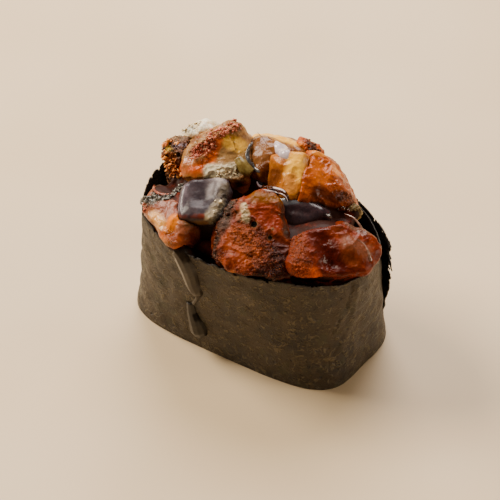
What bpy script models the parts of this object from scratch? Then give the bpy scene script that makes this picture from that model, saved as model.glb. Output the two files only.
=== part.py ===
# Gunkan sushi: an oval block of rice wrapped in a strip of seaweed, with a heap of glazed eel on top.
# The origin is at the middle of the base, +X runs along the long side, and the front side is -Y.

import math

import bmesh
import bpy
from mathutils import Euler, Matrix, Vector, noise

MM = 0.001
OBJECT_NAME = "gunkan_sushi"
GAP = 0.3 * MM                # left between pieces that touch
MERGE = 0.001 * MM

# The wrapped strip: an oval at the board that turns into a wider, softer oval at the rim
BASE_HALF = (24.6 * MM, 13.6 * MM)
BASE_SQUARENESS = 3.8
BASE_TAPER = -0.03            # change of half width from the middle to the +X end
RIM_HALF = (24.4 * MM, 16.2 * MM)
RIM_SQUARENESS = 2.25
RIM_TAPER = -0.18
RIM_SHIFT = (0.5 * MM, 0.2 * MM)
RIM_HEIGHT = 27.9 * MM
RIM_TILT = -0.02              # the rim drops a little towards +X
RIM_ARC = -0.4 * MM           # and towards both ends
RIM_RAGGED = 0.35 * MM
RIM_WAVES = ((0.17, 1.0), (0.45, 0.6))    # waves per degree and share of the rim's raggedness
FOOT_FLARE = 0.5 * MM         # how far the damp foot of the strip spreads
STRIP_THICK = 0.45 * MM
STRIP_COLUMNS = 84
STRIP_ROWS = 4

# The strip starts at the back, goes once round by the front, passes over its own start
# and ends in a loose flap
STRIP_START = 80              # degrees round the oval from +X
FLAP_ROOT = 54                # where the outer layer leaves the wrap
FLAP_END = 13
LAP_RAMP = 14                 # degrees over which the outer layer climbs on to the inner one
FLAP_STAND_OFF = 2.1 * MM
FLAP_TOE = 0.22               # share of the stand-off at the flap's foot
FLAP_TORN = 2.5               # degrees that the torn end wavers
FLAP_TEARS = 5.3              # waves of the torn end over its height
FLAP_SLANT = 34               # degrees that the foot of the torn end stops short of its top

# The rice
RICE_SIDE = 21.5 * MM
RICE_CROWN = 29.5 * MM
RICE_LUMP = 0.5 * MM
RICE_LUMP_SIZE = 3.2 * MM
RICE_LOW_END = 5 * MM         # how much lower the rice lies at its left end
RICE_LEVELS = (0, 0.2, 0.45, 0.7, RICE_SIDE / RIM_HEIGHT)
RICE_RINGS = (0.92, 0.78, 0.6, 0.4, 0.2)  # rings of the top, as shares of its outline
RICE_SEGMENTS = 40
RICE_SEED = 11

FLESH = (0.50, 0.16, 0.03)
AMBER = (0.60, 0.24, 0.07)
PALE = (0.62, 0.45, 0.27)
SKIN = (0.10, 0.08, 0.08)

# The eel, in the order in which a piece keeps its own form and the next gives way: place and half size
# in millimetres, and turn in degrees. A piece is a block whose squareness sets how crisp its edges are.
# Each chop is a further face (its direction, and its distance from the middle of the unit block), fold
# bends the piece along its length, and each push moves the surface round a point of the unit block
# (the point, its reach, and millimetres outwards).
EEL = {
    "eel_dark_square": dict(
        place=(-8.6, -7.0, 32.4), half=(4.7, 4.5, 2.2), turn=(15, -3, 27), squareness=7, fold=0.10,
        lump=0.25, seed=3, colour=SKIN, rough=0.25,
        chops=(((-0.8, 0.7, 0), 1.12), ((0.9, -0.5, -0.5), 1.05), ((-0.3, -1, -0.7), 1.0)),
        pushes=(((1.0, 0.9, 0.6), 0.6, 1.0), ((-0.1, 0.1, 1.0), 0.5, -0.5))),
    "eel_centre_front": dict(
        place=(3.6, -8.3, 29.9), half=(7.6, 8.4, 3.4), turn=(22, 0, 32), squareness=7, fold=0.05,
        lump=0.7, seed=21, colour=FLESH, rough=0.35,
        chops=(((-1, 0.5, 0.2), 1.25), ((-0.6, -1, -0.1), 1.1), ((-1, -0.2, 0.9), 1.2), ((1, 0.5, 0.1), 0.9)),
        pushes=(((-0.4, 0.9, 0.9), 0.6, -0.7), ((0.3, 0.9, 0.9), 0.6, 0.6), ((0.1, -0.9, 0.6), 0.6, 0.5))),
    "eel_right_end": dict(
        place=(17.5, -2.8, 29.4), half=(8.1, 6.7, 3.4), turn=(20, 8, 28), squareness=6, fold=0.16,
        lump=0.6, seed=33, colour=FLESH, rough=0.3,
        chops=(((1, -0.8, 0.1), 0.95), ((0.8, 0.9, 0.2), 1.0), ((-0.5, 0.8, 0.6), 1.15), ((0, -1, 1), 1.25)),
        pushes=(((-0.7, -0.7, 0.8), 0.6, 1.2), ((0.0, -0.6, 0.9), 0.5, -1.6), ((0.8, -0.2, 0.7), 0.6, 0.9))),
    "eel_skin_strip": dict(
        place=(8.4, 1.3, 30.2), half=(5.8, 2.2, 3.7), turn=(-14, -3, 14), squareness=5, fold=-0.1,
        lump=0.2, seed=44, colour=SKIN, rough=0.2,
        chops=(((1, 0.5, 0.6), 1.0), ((0, -1, 0.6), 0.95)),
        pushes=(((-0.8, 0.6, 0.8), 0.5, 0.4),)),
    "eel_left_edge": dict(
        place=(-13.8, -11.2, 28.7), half=(7.4, 4.6, 3.3), turn=(24, -4, -20), squareness=7, fold=0.06,
        lump=0.6, seed=57, colour=AMBER, rough=0.35,
        chops=(((-1, -0.9, 0.3), 0.95), ((1, 0.6, 0.3), 1.1), ((0.1, -0.5, 1), 1.05)),
        pushes=(((-0.8, 0.7, 0.7), 0.6, 0.6), ((0.1, -1.0, 0.5), 0.3, -1.0),
                ((0.65, -0.9, 0.3), 0.4, 1.0))),
    "eel_top_fold": dict(
        place=(3.3, 6.1, 34.1), half=(4.4, 5.2, 4.0), turn=(36, -4, 28), squareness=6, fold=0.0,
        lump=0.4, seed=66, colour=AMBER, rough=0.3,
        chops=(((-1, -0.2, 0.9), 0.85), ((0.3, -1, 0.6), 1.1), ((1, 0.3, 0.8), 1.2)),
        pushes=(((0.2, -0.6, 0.9), 0.6, 0.7), ((0.4, 0.9, 0.7), 0.5, 0.6))),
    "eel_top_middle": dict(
        place=(-1.6, 9.6, 33.2), half=(6.6, 6.2, 4.4), turn=(14, 8, 24), squareness=6, fold=0.15,
        lump=0.35, seed=77, colour=AMBER, rough=0.22,
        chops=(((-1, -0.3, 0.5), 1.05), ((0.2, -1, 0.6), 0.95), ((1, 0.8, 0.5), 1.05), ((0, 0.8, 1), 0.85)),
        pushes=(((-0.9, 0.2, 0.8), 0.5, 0.6), ((0.6, 0.2, 1.0), 0.5, 0.4))),
    "eel_top_left": dict(
        place=(-12.2, 3.8, 33.6), half=(7.4, 6.4, 4.0), turn=(28, -3, 30), squareness=6, fold=0.08,
        lump=0.75, seed=88, colour=AMBER, rough=0.35,
        chops=(((-0.7, 1, 0.5), 0.9), ((1, 0.9, 0.1), 1.15), ((-0.9, -0.9, 0.3), 1.2),
               ((0.3, -0.9, 0.9), 1.15)),
        pushes=(((0.2, 0.9, 0.9), 0.5, 1.9), ((-0.4, 0.5, 1.0), 0.45, 1.0), ((0.1, -0.3, 1.0), 0.5, -0.5))),
    "eel_top_right": dict(
        place=(9.4, 9.2, 32.6), half=(7.0, 6.2, 4.4), turn=(26, 24, 32), squareness=7, fold=0.05,
        lump=0.4, seed=99, colour=AMBER, rough=0.3,
        chops=(((1, 0.75, 0.35), 0.68), ((0.1, -1, 0.9), 1.05), ((0, 0.8, 1), 0.9)),
        pushes=(((-0.7, 0.7, 0.9), 0.5, 0.9), ((0.3, -0.2, 1.0), 0.6, 0.4))),
    "eel_back_left": dict(
        place=(-18.7, 2.0, 31.4), half=(3.8, 3.9, 4.2), turn=(10, -10, 20), squareness=5, fold=0.0,
        lump=1.0, seed=110, colour=FLESH, rough=0.5,
        chops=(((-1, -0.4, 0.9), 1.05), ((0.4, -1, 0.3), 1.05)),
        pushes=(((-0.8, 0.0, 0.8), 0.5, 0.9), ((0.0, 0.2, 1.0), 0.4, -0.8))),
    "eel_back_pale": dict(
        place=(-17.2, 7.2, 31.6), half=(4.6, 4.6, 4.6), turn=(14, -8, 30), squareness=5, fold=0.0,
        lump=0.6, seed=121, colour=PALE, rough=0.4,
        chops=(((-0.8, 0.6, 0.8), 1.0), ((0.9, 0.5, 0.8), 1.05)),
        pushes=(((-0.3, 0.4, 1.0), 0.5, 0.7),)),
    "eel_pale_bit": dict(
        place=(16.0, 7.4, 31.0), half=(2.5, 1.9, 2.2), turn=(10, 12, -20), squareness=4, fold=0.0,
        lump=0.3, seed=132, colour=PALE, rough=0.4, chops=(((0.5, -0.5, 1), 0.9),), pushes=()),
    "eel_back_small": dict(
        place=(1.8, 13.4, 32.4), half=(3.3, 2.8, 3.9), turn=(4, 18, 10), squareness=5, fold=0.0,
        lump=0.4, seed=143, colour=FLESH, rough=0.35, chops=(((0.9, -0.2, 0.8), 1.0),), pushes=()),
}
EEL_CELL = 2.6 * MM           # wanted size of the faces of a piece
FLESH_LUMP_SIZE = 2.6 * MM
SHARP_ANGLE = 50              # degrees
GROW_MARGIN = 1.15            # a grown corner moves less than the faces beside it


def clear_scene():
    for obj in list(bpy.data.objects):
        bpy.data.objects.remove(obj, do_unlink=True)


def make_collection(name):
    collection = bpy.data.collections.new(name)
    bpy.context.scene.collection.children.link(collection)
    return collection


def make_material(name, colour, roughness):
    material = bpy.data.materials.new(name)
    material.use_nodes = True
    shader = material.node_tree.nodes["Principled BSDF"]
    shader.inputs["Base Color"].default_value = (*colour, 1.0)
    shader.inputs["Roughness"].default_value = roughness
    shader.inputs["Metallic"].default_value = 0.0
    return material


def make_object(name, bm, collection, material=None):
    """Put a mesh in the scene as an object, with its normals outwards."""
    bmesh.ops.recalc_face_normals(bm, faces=bm.faces[:])
    if bm.calc_volume(signed=True) < 0:
        bmesh.ops.reverse_faces(bm, faces=bm.faces[:])
    mesh = bpy.data.meshes.new(name)
    bm.to_mesh(mesh)
    bm.free()
    mesh.shade_smooth()
    mesh.set_sharp_from_angle(angle=math.radians(SHARP_ANGLE))
    obj = bpy.data.objects.new(name, mesh)
    if material:
        mesh.materials.append(material)
    collection.objects.link(obj)
    return obj


def oval_point(angle, half, squareness, taper):
    """A point of a squared oval whose width changes along X."""
    across, up = math.cos(angle), math.sin(angle)
    x = half[0] * math.copysign(abs(across) ** (2 / squareness), across)
    y = half[1] * math.copysign(abs(up) ** (2 / squareness), up)
    return x, y * (1 + taper * x / half[0])


def wall_point(angle, level):
    """A point on the middle of the strip: level 0 is the board and 1 is the rim."""
    base_x, base_y = oval_point(angle, BASE_HALF, BASE_SQUARENESS, BASE_TAPER)
    rim_x, rim_y = oval_point(angle, RIM_HALF, RIM_SQUARENESS, RIM_TAPER)
    rim_z = RIM_HEIGHT + RIM_TILT * rim_x + RIM_ARC * (rim_x / RIM_HALF[0]) ** 2
    flare = 1 + FOOT_FLARE / BASE_HALF[0] * max(0.0, 1 - level * 5) ** 2
    x = (base_x * (1 - level) + (rim_x + RIM_SHIFT[0]) * level) * flare
    y = (base_y * (1 - level) + (rim_y + RIM_SHIFT[1]) * level) * flare
    return Vector((x, y, rim_z * level))


def wall_normal(angle, level):
    """The level direction that points away from the rice."""
    step = math.radians(1.5)
    along = wall_point(angle + step, level) - wall_point(angle - step, level)
    return Vector((along.y, -along.x, 0)).normalized()


def loft(bm, rings, closed):
    """Join rings of vertices, in order, with quads."""
    for lower, upper in zip(rings, rings[1:]):
        count = len(lower)
        for i in range(count if closed else count - 1):
            j = (i + 1) % count
            bm.faces.new((lower[i], lower[j], upper[j], upper[i]))


def layer_offset(turned, level):
    """How far the strip stands off the rice after it has turned so many degrees from its start."""
    lap = min(1.0, max(0.0, 1 - (360 - turned) / LAP_RAMP))
    offset = (STRIP_THICK + GAP) * lap * lap * (3 - 2 * lap)
    loose = max(0.0, (turned - (360 + STRIP_START - FLAP_ROOT)) / (FLAP_ROOT - FLAP_END))
    return offset + FLAP_STAND_OFF * loose ** 1.6 * (FLAP_TOE + (1 - FLAP_TOE) * level)


def strip_point(turned, level, side):
    """A point of the strip; side is how far it lies from the strip's middle, away from the rice."""
    angle = math.radians(STRIP_START - turned)
    point = wall_point(angle, level) + wall_normal(angle, level) * (layer_offset(turned, level) + side)
    for row, (waves, share) in enumerate(RIM_WAVES):
        point.z += noise.noise(Vector((turned * waves, row, 0.5))) * share * RIM_RAGGED * level ** 6
    return point


def make_strip(collection):
    """The seaweed strip: one long thin solid that passes over its own start."""
    whole = 360 + STRIP_START - FLAP_END
    bm = bmesh.new()
    sheets = []
    for side in (-STRIP_THICK / 2, STRIP_THICK / 2):
        rows = []
        for row in range(STRIP_ROWS + 1):
            level = row / STRIP_ROWS
            torn = noise.noise(Vector((level * FLAP_TEARS, 2.0, 7.7))) * FLAP_TORN
            line = []
            for column in range(STRIP_COLUMNS + 1):
                part = column / STRIP_COLUMNS
                short = (torn + FLAP_SLANT * (1 - level) ** 1.5) * max(0.0, part * 6 - 5)
                line.append(bm.verts.new(strip_point(whole * part - short, level, side)))
            rows.append(line)
        sheets.append(rows)
        loft(bm, rows, closed=False)
    inner, outer = sheets
    loft(bm, [inner[0], outer[0]], closed=False)
    loft(bm, [inner[-1], outer[-1]], closed=False)
    for end in (0, -1):
        loft(bm, [[row[end] for row in inner], [row[end] for row in outer]], closed=False)
    return make_object("nori_band", bm, collection, make_material("nori", (0.045, 0.035, 0.018), 0.45))


def make_strip_space(collection):
    """A cutter: the closed ring of space that the strip takes up, flap included."""
    whole = 360 + STRIP_START - FLAP_END
    reach = STRIP_THICK / 2 + GAP
    bm = bmesh.new()
    rings = []
    for outside in (False, True):
        for row in range(STRIP_ROWS + 1):
            level = row / STRIP_ROWS if not outside else 1 - row / STRIP_ROWS
            ring = []
            for column in range(STRIP_COLUMNS):
                turned = 360 * column / STRIP_COLUMNS
                layer = turned + 360 if outside and turned + 360 < whole else turned
                point = strip_point(layer, level, reach if outside else -reach - layer_offset(layer, level))
                point.z += GAP * (2 * level - 1)
                ring.append(bm.verts.new(point))
            rings.append(ring)
    loft(bm, rings + rings[:1], closed=True)
    cutter = make_object("strip_space", bm, collection)
    cutter.hide_render = True
    cutter.display_type = "WIRE"
    return cutter


def rice_height(x, y):
    """Height of the top of the rice, which is heaped in the middle and low at the left end."""
    reach = math.hypot(x / (RIM_HALF[0] - 2 * MM), y / (RIM_HALF[1] - 2 * MM))
    crown = max(0.0, 1 - reach ** 3)
    left = max(0.0, -x / RIM_HALF[0] - 0.45)
    lumps = noise.noise(Vector((x, y, RICE_SEED * MM)) / RICE_LUMP_SIZE) * RICE_LUMP
    return RICE_SIDE + (RICE_CROWN - RICE_SIDE) * crown - left * RICE_LOW_END + lumps


def make_rice(collection):
    """The rice: it fills the strip, stands on the board and carries the eel."""
    inset = STRIP_THICK / 2 + GAP
    bm = bmesh.new()
    rings = []
    for level in RICE_LEVELS:
        ring = []
        for i in range(RICE_SEGMENTS):
            angle = 2 * math.pi * i / RICE_SEGMENTS
            lump = abs(noise.noise(Vector((i * 0.9, level * 9.0, RICE_SEED)))) * RICE_LUMP
            ring.append(wall_point(angle, level) - wall_normal(angle, level) * (inset + lump))
        rings.append(ring)
    side = rings[-1]
    for scale in RICE_RINGS:
        ring = [Vector((p.x * scale, p.y * scale, 0)) for p in side]
        for p in ring:
            p.z = rice_height(p.x, p.y)
        rings.append(ring)
    verts = [[bm.verts.new(p) for p in ring] for ring in rings]
    loft(bm, verts, closed=True)
    bm.faces.new(reversed(verts[0]))
    bm.faces.new(verts[-1])
    return make_object("rice", bm, collection, make_material("rice", (0.72, 0.66, 0.52), 0.5))


def block_surface(direction, chops, squareness):
    """Where a direction meets the surface of a unit block with softened edges and chopped corners."""
    total = sum(abs(part) ** squareness for part in direction)
    for normal, distance in chops:
        facing = direction.dot(Vector(normal).normalized()) / distance
        total += max(0.0, facing) ** squareness
    return direction / total ** (1 / squareness)


def make_eel(name, collection, place, half, turn, squareness, chops, pushes, fold, lump, seed,
             colour, rough):
    """One piece of eel: a chopped block, pushed, bent and roughened, then laid in its place."""
    sizes = Vector(half) * MM
    bm = bmesh.new()
    bmesh.ops.create_cube(bm, size=2.0)
    cuts = round(2 * max(sizes) / EEL_CELL) - 1
    bmesh.ops.subdivide_edges(bm, edges=bm.edges[:], cuts=cuts, use_grid_fill=True)
    turned = Euler([math.radians(angle) for angle in turn]).to_matrix().to_4x4()
    laid = Matrix.Translation(Vector(place) * MM) @ turned
    for vert in bm.verts:
        unit = block_surface(vert.co.normalized(), chops, squareness)
        away = unit.normalized()
        point = Vector((unit.x * sizes.x, unit.y * sizes.y, unit.z * sizes.z))
        for centre, reach, push in pushes:
            near = max(0.0, 1 - (unit - Vector(centre)).length / (reach * 1.6))
            point += away * (push * MM * near * near * (3 - 2 * near))
        rise = noise.noise(point / FLESH_LUMP_SIZE + Vector((seed, 0, 0)))
        rise += 0.5 * noise.noise(point / FLESH_LUMP_SIZE * 2 + Vector((0, seed, 0)))
        point += away * rise * lump * MM
        point.z -= fold * unit.x ** 2 * sizes.x
        vert.co = laid @ point
    return make_object(name, bm, collection, make_material(name + "_glaze", colour, rough))


def grown_copy(obj, amount, collection):
    """A cutter: the object grown by the gap that touching pieces keep."""
    bm = bmesh.new()
    bm.from_mesh(obj.data)
    bm.normal_update()
    moves = [(vert, vert.normal * amount * GROW_MARGIN) for vert in bm.verts]
    for vert, move in moves:
        vert.co += move
    cutter = make_object(obj.name + "_grown", bm, collection)
    cutter.hide_render = True
    cutter.display_type = "WIRE"
    return cutter


def drop_fins(bm):
    """Drop pairs of triangles that lie back to back on the same corners."""
    seen = {}
    for face in bm.faces:
        seen.setdefault(frozenset(face.verts), []).append(face)
    fins = [face for faces in seen.values() if len(faces) > 1 for face in faces]
    bmesh.ops.delete(bm, geom=fins, context="FACES")


def keep_main_body(bm):
    """Drop the crumbs that a cut leaves beside the main body."""
    left, bodies = set(bm.verts), []
    while left:
        stack = [left.pop()]
        body = set(stack)
        while stack:
            for edge in stack.pop().link_edges:
                for vert in edge.verts:
                    if vert in left:
                        left.remove(vert)
                        body.add(vert)
                        stack.append(vert)
        bodies.append(body)
    bodies.sort(key=len)
    crumbs = [vert for body in bodies[:-1] for vert in body]
    bmesh.ops.delete(bm, geom=crumbs, context="VERTS")


def cut_clear(obj, cutter):
    """Cut an object back so that it clears a piece that presses on it."""
    cut = obj.modifiers.new("clear", "BOOLEAN")
    cut.operation = "DIFFERENCE"
    cut.object = cutter
    evaluated = obj.evaluated_get(bpy.context.evaluated_depsgraph_get())
    bm = bmesh.new()
    bm.from_mesh(evaluated.to_mesh())
    evaluated.to_mesh_clear()
    obj.modifiers.clear()
    bmesh.ops.remove_doubles(bm, verts=bm.verts[:], dist=MERGE)
    bmesh.ops.triangulate(bm, faces=bm.faces[:])
    drop_fins(bm)
    keep_main_body(bm)
    bm.to_mesh(obj.data)
    bm.free()


def touches(obj, cutter):
    """Whether the boxes of two objects meet."""
    first = [obj.matrix_world @ Vector(corner) for corner in obj.bound_box]
    second = [cutter.matrix_world @ Vector(corner) for corner in cutter.bound_box]
    for axis in range(3):
        a = [corner[axis] for corner in first]
        b = [corner[axis] for corner in second]
        if min(a) > max(b) or min(b) > max(a):
            return False
    return True


def main():
    clear_scene()
    parts = make_collection(OBJECT_NAME)
    tools = make_collection("cutters")
    make_strip(parts)
    pieces = [make_eel(name, collection=parts, **form) for name, form in EEL.items()]
    rice = make_rice(parts)
    grown = [make_strip_space(tools)] + [grown_copy(obj, GAP, tools) for obj in pieces]
    bpy.context.view_layer.update()
    for number, obj in enumerate(pieces + [rice], start=1):
        for cutter in grown[:number]:
            if touches(obj, cutter):
                cut_clear(obj, cutter)


main()
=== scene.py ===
# Gunkan sushi with glazed eel: the looks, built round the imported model.
import math
import random

import bpy
import numpy as np
from mathutils import Matrix, Vector, noise
from mathutils.bvhtree import BVHTree


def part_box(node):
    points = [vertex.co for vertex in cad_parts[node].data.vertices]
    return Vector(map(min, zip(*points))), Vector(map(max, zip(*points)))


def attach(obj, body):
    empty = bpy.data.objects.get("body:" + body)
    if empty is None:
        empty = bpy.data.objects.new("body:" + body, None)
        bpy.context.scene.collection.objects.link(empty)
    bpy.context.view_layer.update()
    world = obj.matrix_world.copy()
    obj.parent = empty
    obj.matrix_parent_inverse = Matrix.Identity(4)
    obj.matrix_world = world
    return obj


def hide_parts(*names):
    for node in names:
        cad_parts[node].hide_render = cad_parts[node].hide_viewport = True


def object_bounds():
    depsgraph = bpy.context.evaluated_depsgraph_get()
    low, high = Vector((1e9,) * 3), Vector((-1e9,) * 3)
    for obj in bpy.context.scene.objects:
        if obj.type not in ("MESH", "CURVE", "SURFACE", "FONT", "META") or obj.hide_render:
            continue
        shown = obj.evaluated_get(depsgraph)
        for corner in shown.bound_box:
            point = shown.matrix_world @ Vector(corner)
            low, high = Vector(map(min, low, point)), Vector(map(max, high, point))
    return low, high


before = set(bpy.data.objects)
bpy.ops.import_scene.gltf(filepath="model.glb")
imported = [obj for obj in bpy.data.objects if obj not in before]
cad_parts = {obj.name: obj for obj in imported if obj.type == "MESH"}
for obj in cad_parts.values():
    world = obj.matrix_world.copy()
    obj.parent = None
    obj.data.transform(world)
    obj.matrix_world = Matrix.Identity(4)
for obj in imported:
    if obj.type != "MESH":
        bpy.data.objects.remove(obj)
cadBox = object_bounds()
mm = 0.001
chance = random.Random(7)
print("frame loaded:", len(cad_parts), "nodes")


def tint(red, green, blue):                    # a colour as a painter names it, 0 to 255
    parts = [part / 255 for part in (red, green, blue)]
    return tuple(p / 12.92 if p < 0.04 else ((p + 0.055) / 1.055) ** 2.4 for p in parts) + (1.0,)


def share(node, part):                         # a place in a node's box, as shares of its sides, in mm
    low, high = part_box(node)
    return Vector([low[i] + (high[i] - low[i]) * part[i] for i in range(3)]) / mm


slant = Vector((0.37, -0.59, 0.72)).normalized()      # from the piece towards the front and above


# Materials: a wire is a value in a material on which sums can be written

class Wire:
    def __init__(self, recipe, socket):
        self.recipe = recipe
        self.socket = socket

    def sum(self, operation, first, second):
        return self.recipe.add("ShaderNodeMath", {"operation": operation}, {0: first, 1: second})

    def __add__(self, other):
        return self.sum("ADD", self, other)

    def __sub__(self, other):
        return self.sum("SUBTRACT", self, other)

    def __rsub__(self, other):
        return self.sum("SUBTRACT", other, self)

    def __mul__(self, other):
        return self.sum("MULTIPLY", self, other)

    def most(self, other):
        return self.sum("MAXIMUM", self, other)

    __radd__ = __add__
    __rmul__ = __mul__


class Recipe:
    def __init__(self, name):
        self.material = bpy.data.materials.new(name)
        self.material.use_nodes = True
        self.tree = self.material.node_tree
        self.shader = self.tree.nodes["Principled BSDF"]

    def add(self, kind, settings=None, values=None, out=0):
        node = self.tree.nodes.new(kind)
        for name, value in (settings or {}).items():
            setattr(node, name, value)
        for name, value in (values or {}).items():
            if isinstance(value, Wire):
                self.tree.links.new(value.socket, node.inputs[name])
            else:
                node.inputs[name].default_value = value
        return Wire(self, node.outputs[out])

    def place(self):                           # where a point of the piece is, in mm
        spot = self.add("ShaderNodeTexCoord", out="Object")
        return self.vector("SCALE", spot, Scale=1 / mm)

    def vector(self, operation, first, second=None, out=0, **more):
        values = {0: first}
        if second is not None:
            values[1] = second
        values.update(more)
        return self.add("ShaderNodeVectorMath", {"operation": operation}, values, out)

    def noise(self, place, size, detail=2.0, rough=0.5, out=0, twist=0.0):
        values = {"Vector": place, "Scale": 1 / size, "Detail": detail, "Roughness": rough, "Distortion": twist}
        return self.add("ShaderNodeTexNoise", {}, values, out)

    def cells(self, place, size, out="Distance"):
        return self.add("ShaderNodeTexVoronoi", {}, {"Vector": place, "Scale": 1 / size}, out)

    def step(self, value, low, high):          # 0 below low, 1 above high, smooth between
        settings = {"interpolation_type": "SMOOTHSTEP"}
        return self.add("ShaderNodeMapRange", settings, {"Value": value, "From Min": low, "From Max": high})

    def mix(self, factor, first, second):
        return self.add("ShaderNodeMix", {"data_type": "RGBA"}, {0: factor, 6: first, 7: second}, 2)

    def near(self, place, start, end, reach, soft):   # 1 on the line from start to end, 0 past its reach
        along = end - start
        if along.length < 0.01:
            gap = self.vector("DISTANCE", place, tuple(start), out="Value")
        else:
            off = self.vector("SUBTRACT", place, tuple(start))
            part = self.vector("DOT_PRODUCT", off, tuple(along), out="Value") * (1 / along.length_squared)
            part = self.add("ShaderNodeClamp", {}, {"Value": part})
            foot = self.vector("SCALE", tuple(along), Scale=part)
            gap = self.vector("DISTANCE", off, foot, out="Value")
        return self.step(gap, reach + soft, max(0.0, reach - soft))

    def wander(self, place, size, far):        # the same place, carried off a little by noise
        cloud = self.noise(place, size, 3.0, out="Color")
        drift = self.vector("SUBTRACT", cloud, (0.5, 0.5, 0.5))
        return self.vector("ADD", place, self.vector("SCALE", drift, Scale=far))

    def bump(self, height, depth, strength=1.0, before=None):
        values = {"Height": height, "Distance": depth * mm, "Strength": strength}
        if before is not None:
            values["Normal"] = before
        return self.add("ShaderNodeBump", {}, values)

    def finish(self, colour, rough, normal=None, coat=None, **fixed):
        links = {"Base Color": colour, "Roughness": rough, "Normal": normal, "Coat Weight": coat}
        for name, value in links.items():
            if isinstance(value, Wire):
                self.tree.links.new(value.socket, self.shader.inputs[name])
            elif value is not None:
                self.shader.inputs[name].default_value = value
        for name, value in fixed.items():
            self.shader.inputs[name.replace("_", " ")].default_value = value
        return self.material


# Handling the pieces

def takeUp(*pieces):                           # only these pieces are selected, the last one active
    if bpy.context.mode != "OBJECT":
        bpy.ops.object.mode_set(mode="OBJECT")
    bpy.ops.object.select_all(action="DESELECT")
    for piece in pieces:
        piece.select_set(True)
        bpy.context.view_layer.objects.active = piece
    return pieces[-1]


def named(name):                               # the piece just added, under its own name
    piece = bpy.context.object
    piece.name = name
    piece.data.name = name
    return piece


def edit(piece, *steps):                       # edit-mode operators on the whole mesh, each with its settings
    takeUp(piece)
    bpy.ops.object.mode_set(mode="EDIT")
    for operator, settings in steps:
        bpy.ops.mesh.select_all(action="SELECT")
        operator(**settings)
    bpy.ops.object.mode_set(mode="OBJECT")


def pick(piece, wanted):                       # select the faces for which wanted(centre, normal) holds
    takeUp(piece)
    bpy.ops.object.mode_set(mode="EDIT")
    bpy.ops.mesh.select_mode(type="FACE")
    bpy.ops.mesh.select_all(action="DESELECT")
    bpy.ops.object.mode_set(mode="OBJECT")
    for face in piece.data.polygons:
        face.select = bool(wanted(face.center / mm, face.normal))
    bpy.ops.object.mode_set(mode="EDIT")


def work(piece, kind, **settings):             # one modifier, applied at once
    takeUp(piece)
    modifier = piece.modifiers.new(kind.lower(), kind)
    for name, value in settings.items():
        setattr(modifier, name, value)
    bpy.ops.object.modifier_apply(modifier=modifier.name)


def nodeCopy(node, name):
    piece = bpy.data.objects.new(name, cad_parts[node].data.copy())
    piece.data.name = name
    piece.data.materials.clear()
    bpy.context.scene.collection.objects.link(piece)
    takeUp(piece)
    bpy.ops.mesh.customdata_custom_splitnormals_clear()
    edit(piece, (bpy.ops.mesh.remove_doubles, {"threshold": 0.001 * mm}))
    return piece


def joined(name, pieces):
    takeUp(*pieces)
    bpy.ops.object.join()
    return named(name)


def settle(piece, node, material):       # the piece stands for its node and takes its finish
    takeUp(piece)
    bpy.ops.object.transform_apply(location=True, rotation=True, scale=True)
    piece.data.materials.clear()
    piece.data.materials.append(material)
    piece.data.shade_smooth()
    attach(piece, "root")
    if node:
        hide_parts(node)


def points(piece):
    flat = np.zeros(len(piece.data.vertices) * 3)
    piece.data.vertices.foreach_get("co", flat)
    return flat.reshape(-1, 3) / mm


def normals(piece):
    flat = np.zeros(len(piece.data.vertices) * 3)
    piece.data.vertices.foreach_get("normal", flat)
    return flat.reshape(-1, 3)


def put(piece, places):
    piece.data.vertices.foreach_set("co", (places * mm).ravel())
    piece.data.update()


def nearness(places, start, end, reach):       # 1 on the line from start to end, falling to 0 at its reach
    start, end = np.array(start), np.array(end)
    along = end - start
    part = np.clip((places - start) @ along / max(1e-6, along @ along), 0, 1)
    gap = np.linalg.norm(places - start - part[:, None] * along, axis=1)
    fall = np.clip(1 - gap / reach, 0, 1)
    return fall * fall * (3 - 2 * fall)


def texture(name, kind, size, **settings):     # one of Blender's solid textures, for the displace modifiers
    made = bpy.data.textures.new(name, kind)
    made.noise_scale = size * mm
    for setting, value in settings.items():
        setattr(made, setting, value)
    return made


lumps = texture("lumps", "CLOUDS", 2.4, noise_depth=2)
crumbs = texture("crumbs", "CLOUDS", 0.62, noise_depth=2, noise_type="HARD_NOISE")
torn = texture("torn", "MUSGRAVE", 2.3, musgrave_type="RIDGED_MULTIFRACTAL", octaves=2, noise_intensity=0.6)
flakes = texture("flakes", "MUSGRAVE", 1.1, musgrave_type="RIDGED_MULTIFRACTAL", octaves=3, noise_intensity=0.6)

# The room: pale floor, soft lamps and the camera

room = {
    "turn": 32, "lift": 46, "away": 760, "aside": -2.1, "above": 12.6, "lens": 273.6,
    "floor": 6, "floorTint": tint(232, 209, 172), "floorMottle": tint(226, 201, 162),
    "air": tint(240, 216, 184), "airPower": 0.12,
}
lamps = {                                      # direction from the object, distance, size in metres, watts, colour
    "leftKey": ((-0.82, -0.08, 0.72), 0.70, 0.34, 8.6, tint(255, 240, 220)),
    "backSoft": ((-0.30, 0.62, 0.72), 0.60, 0.44, 5.2, tint(252, 242, 236)),
    "rightEdge": ((0.90, 0.38, 0.30), 0.60, 0.20, 1.6, tint(255, 236, 214)),
}


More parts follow.
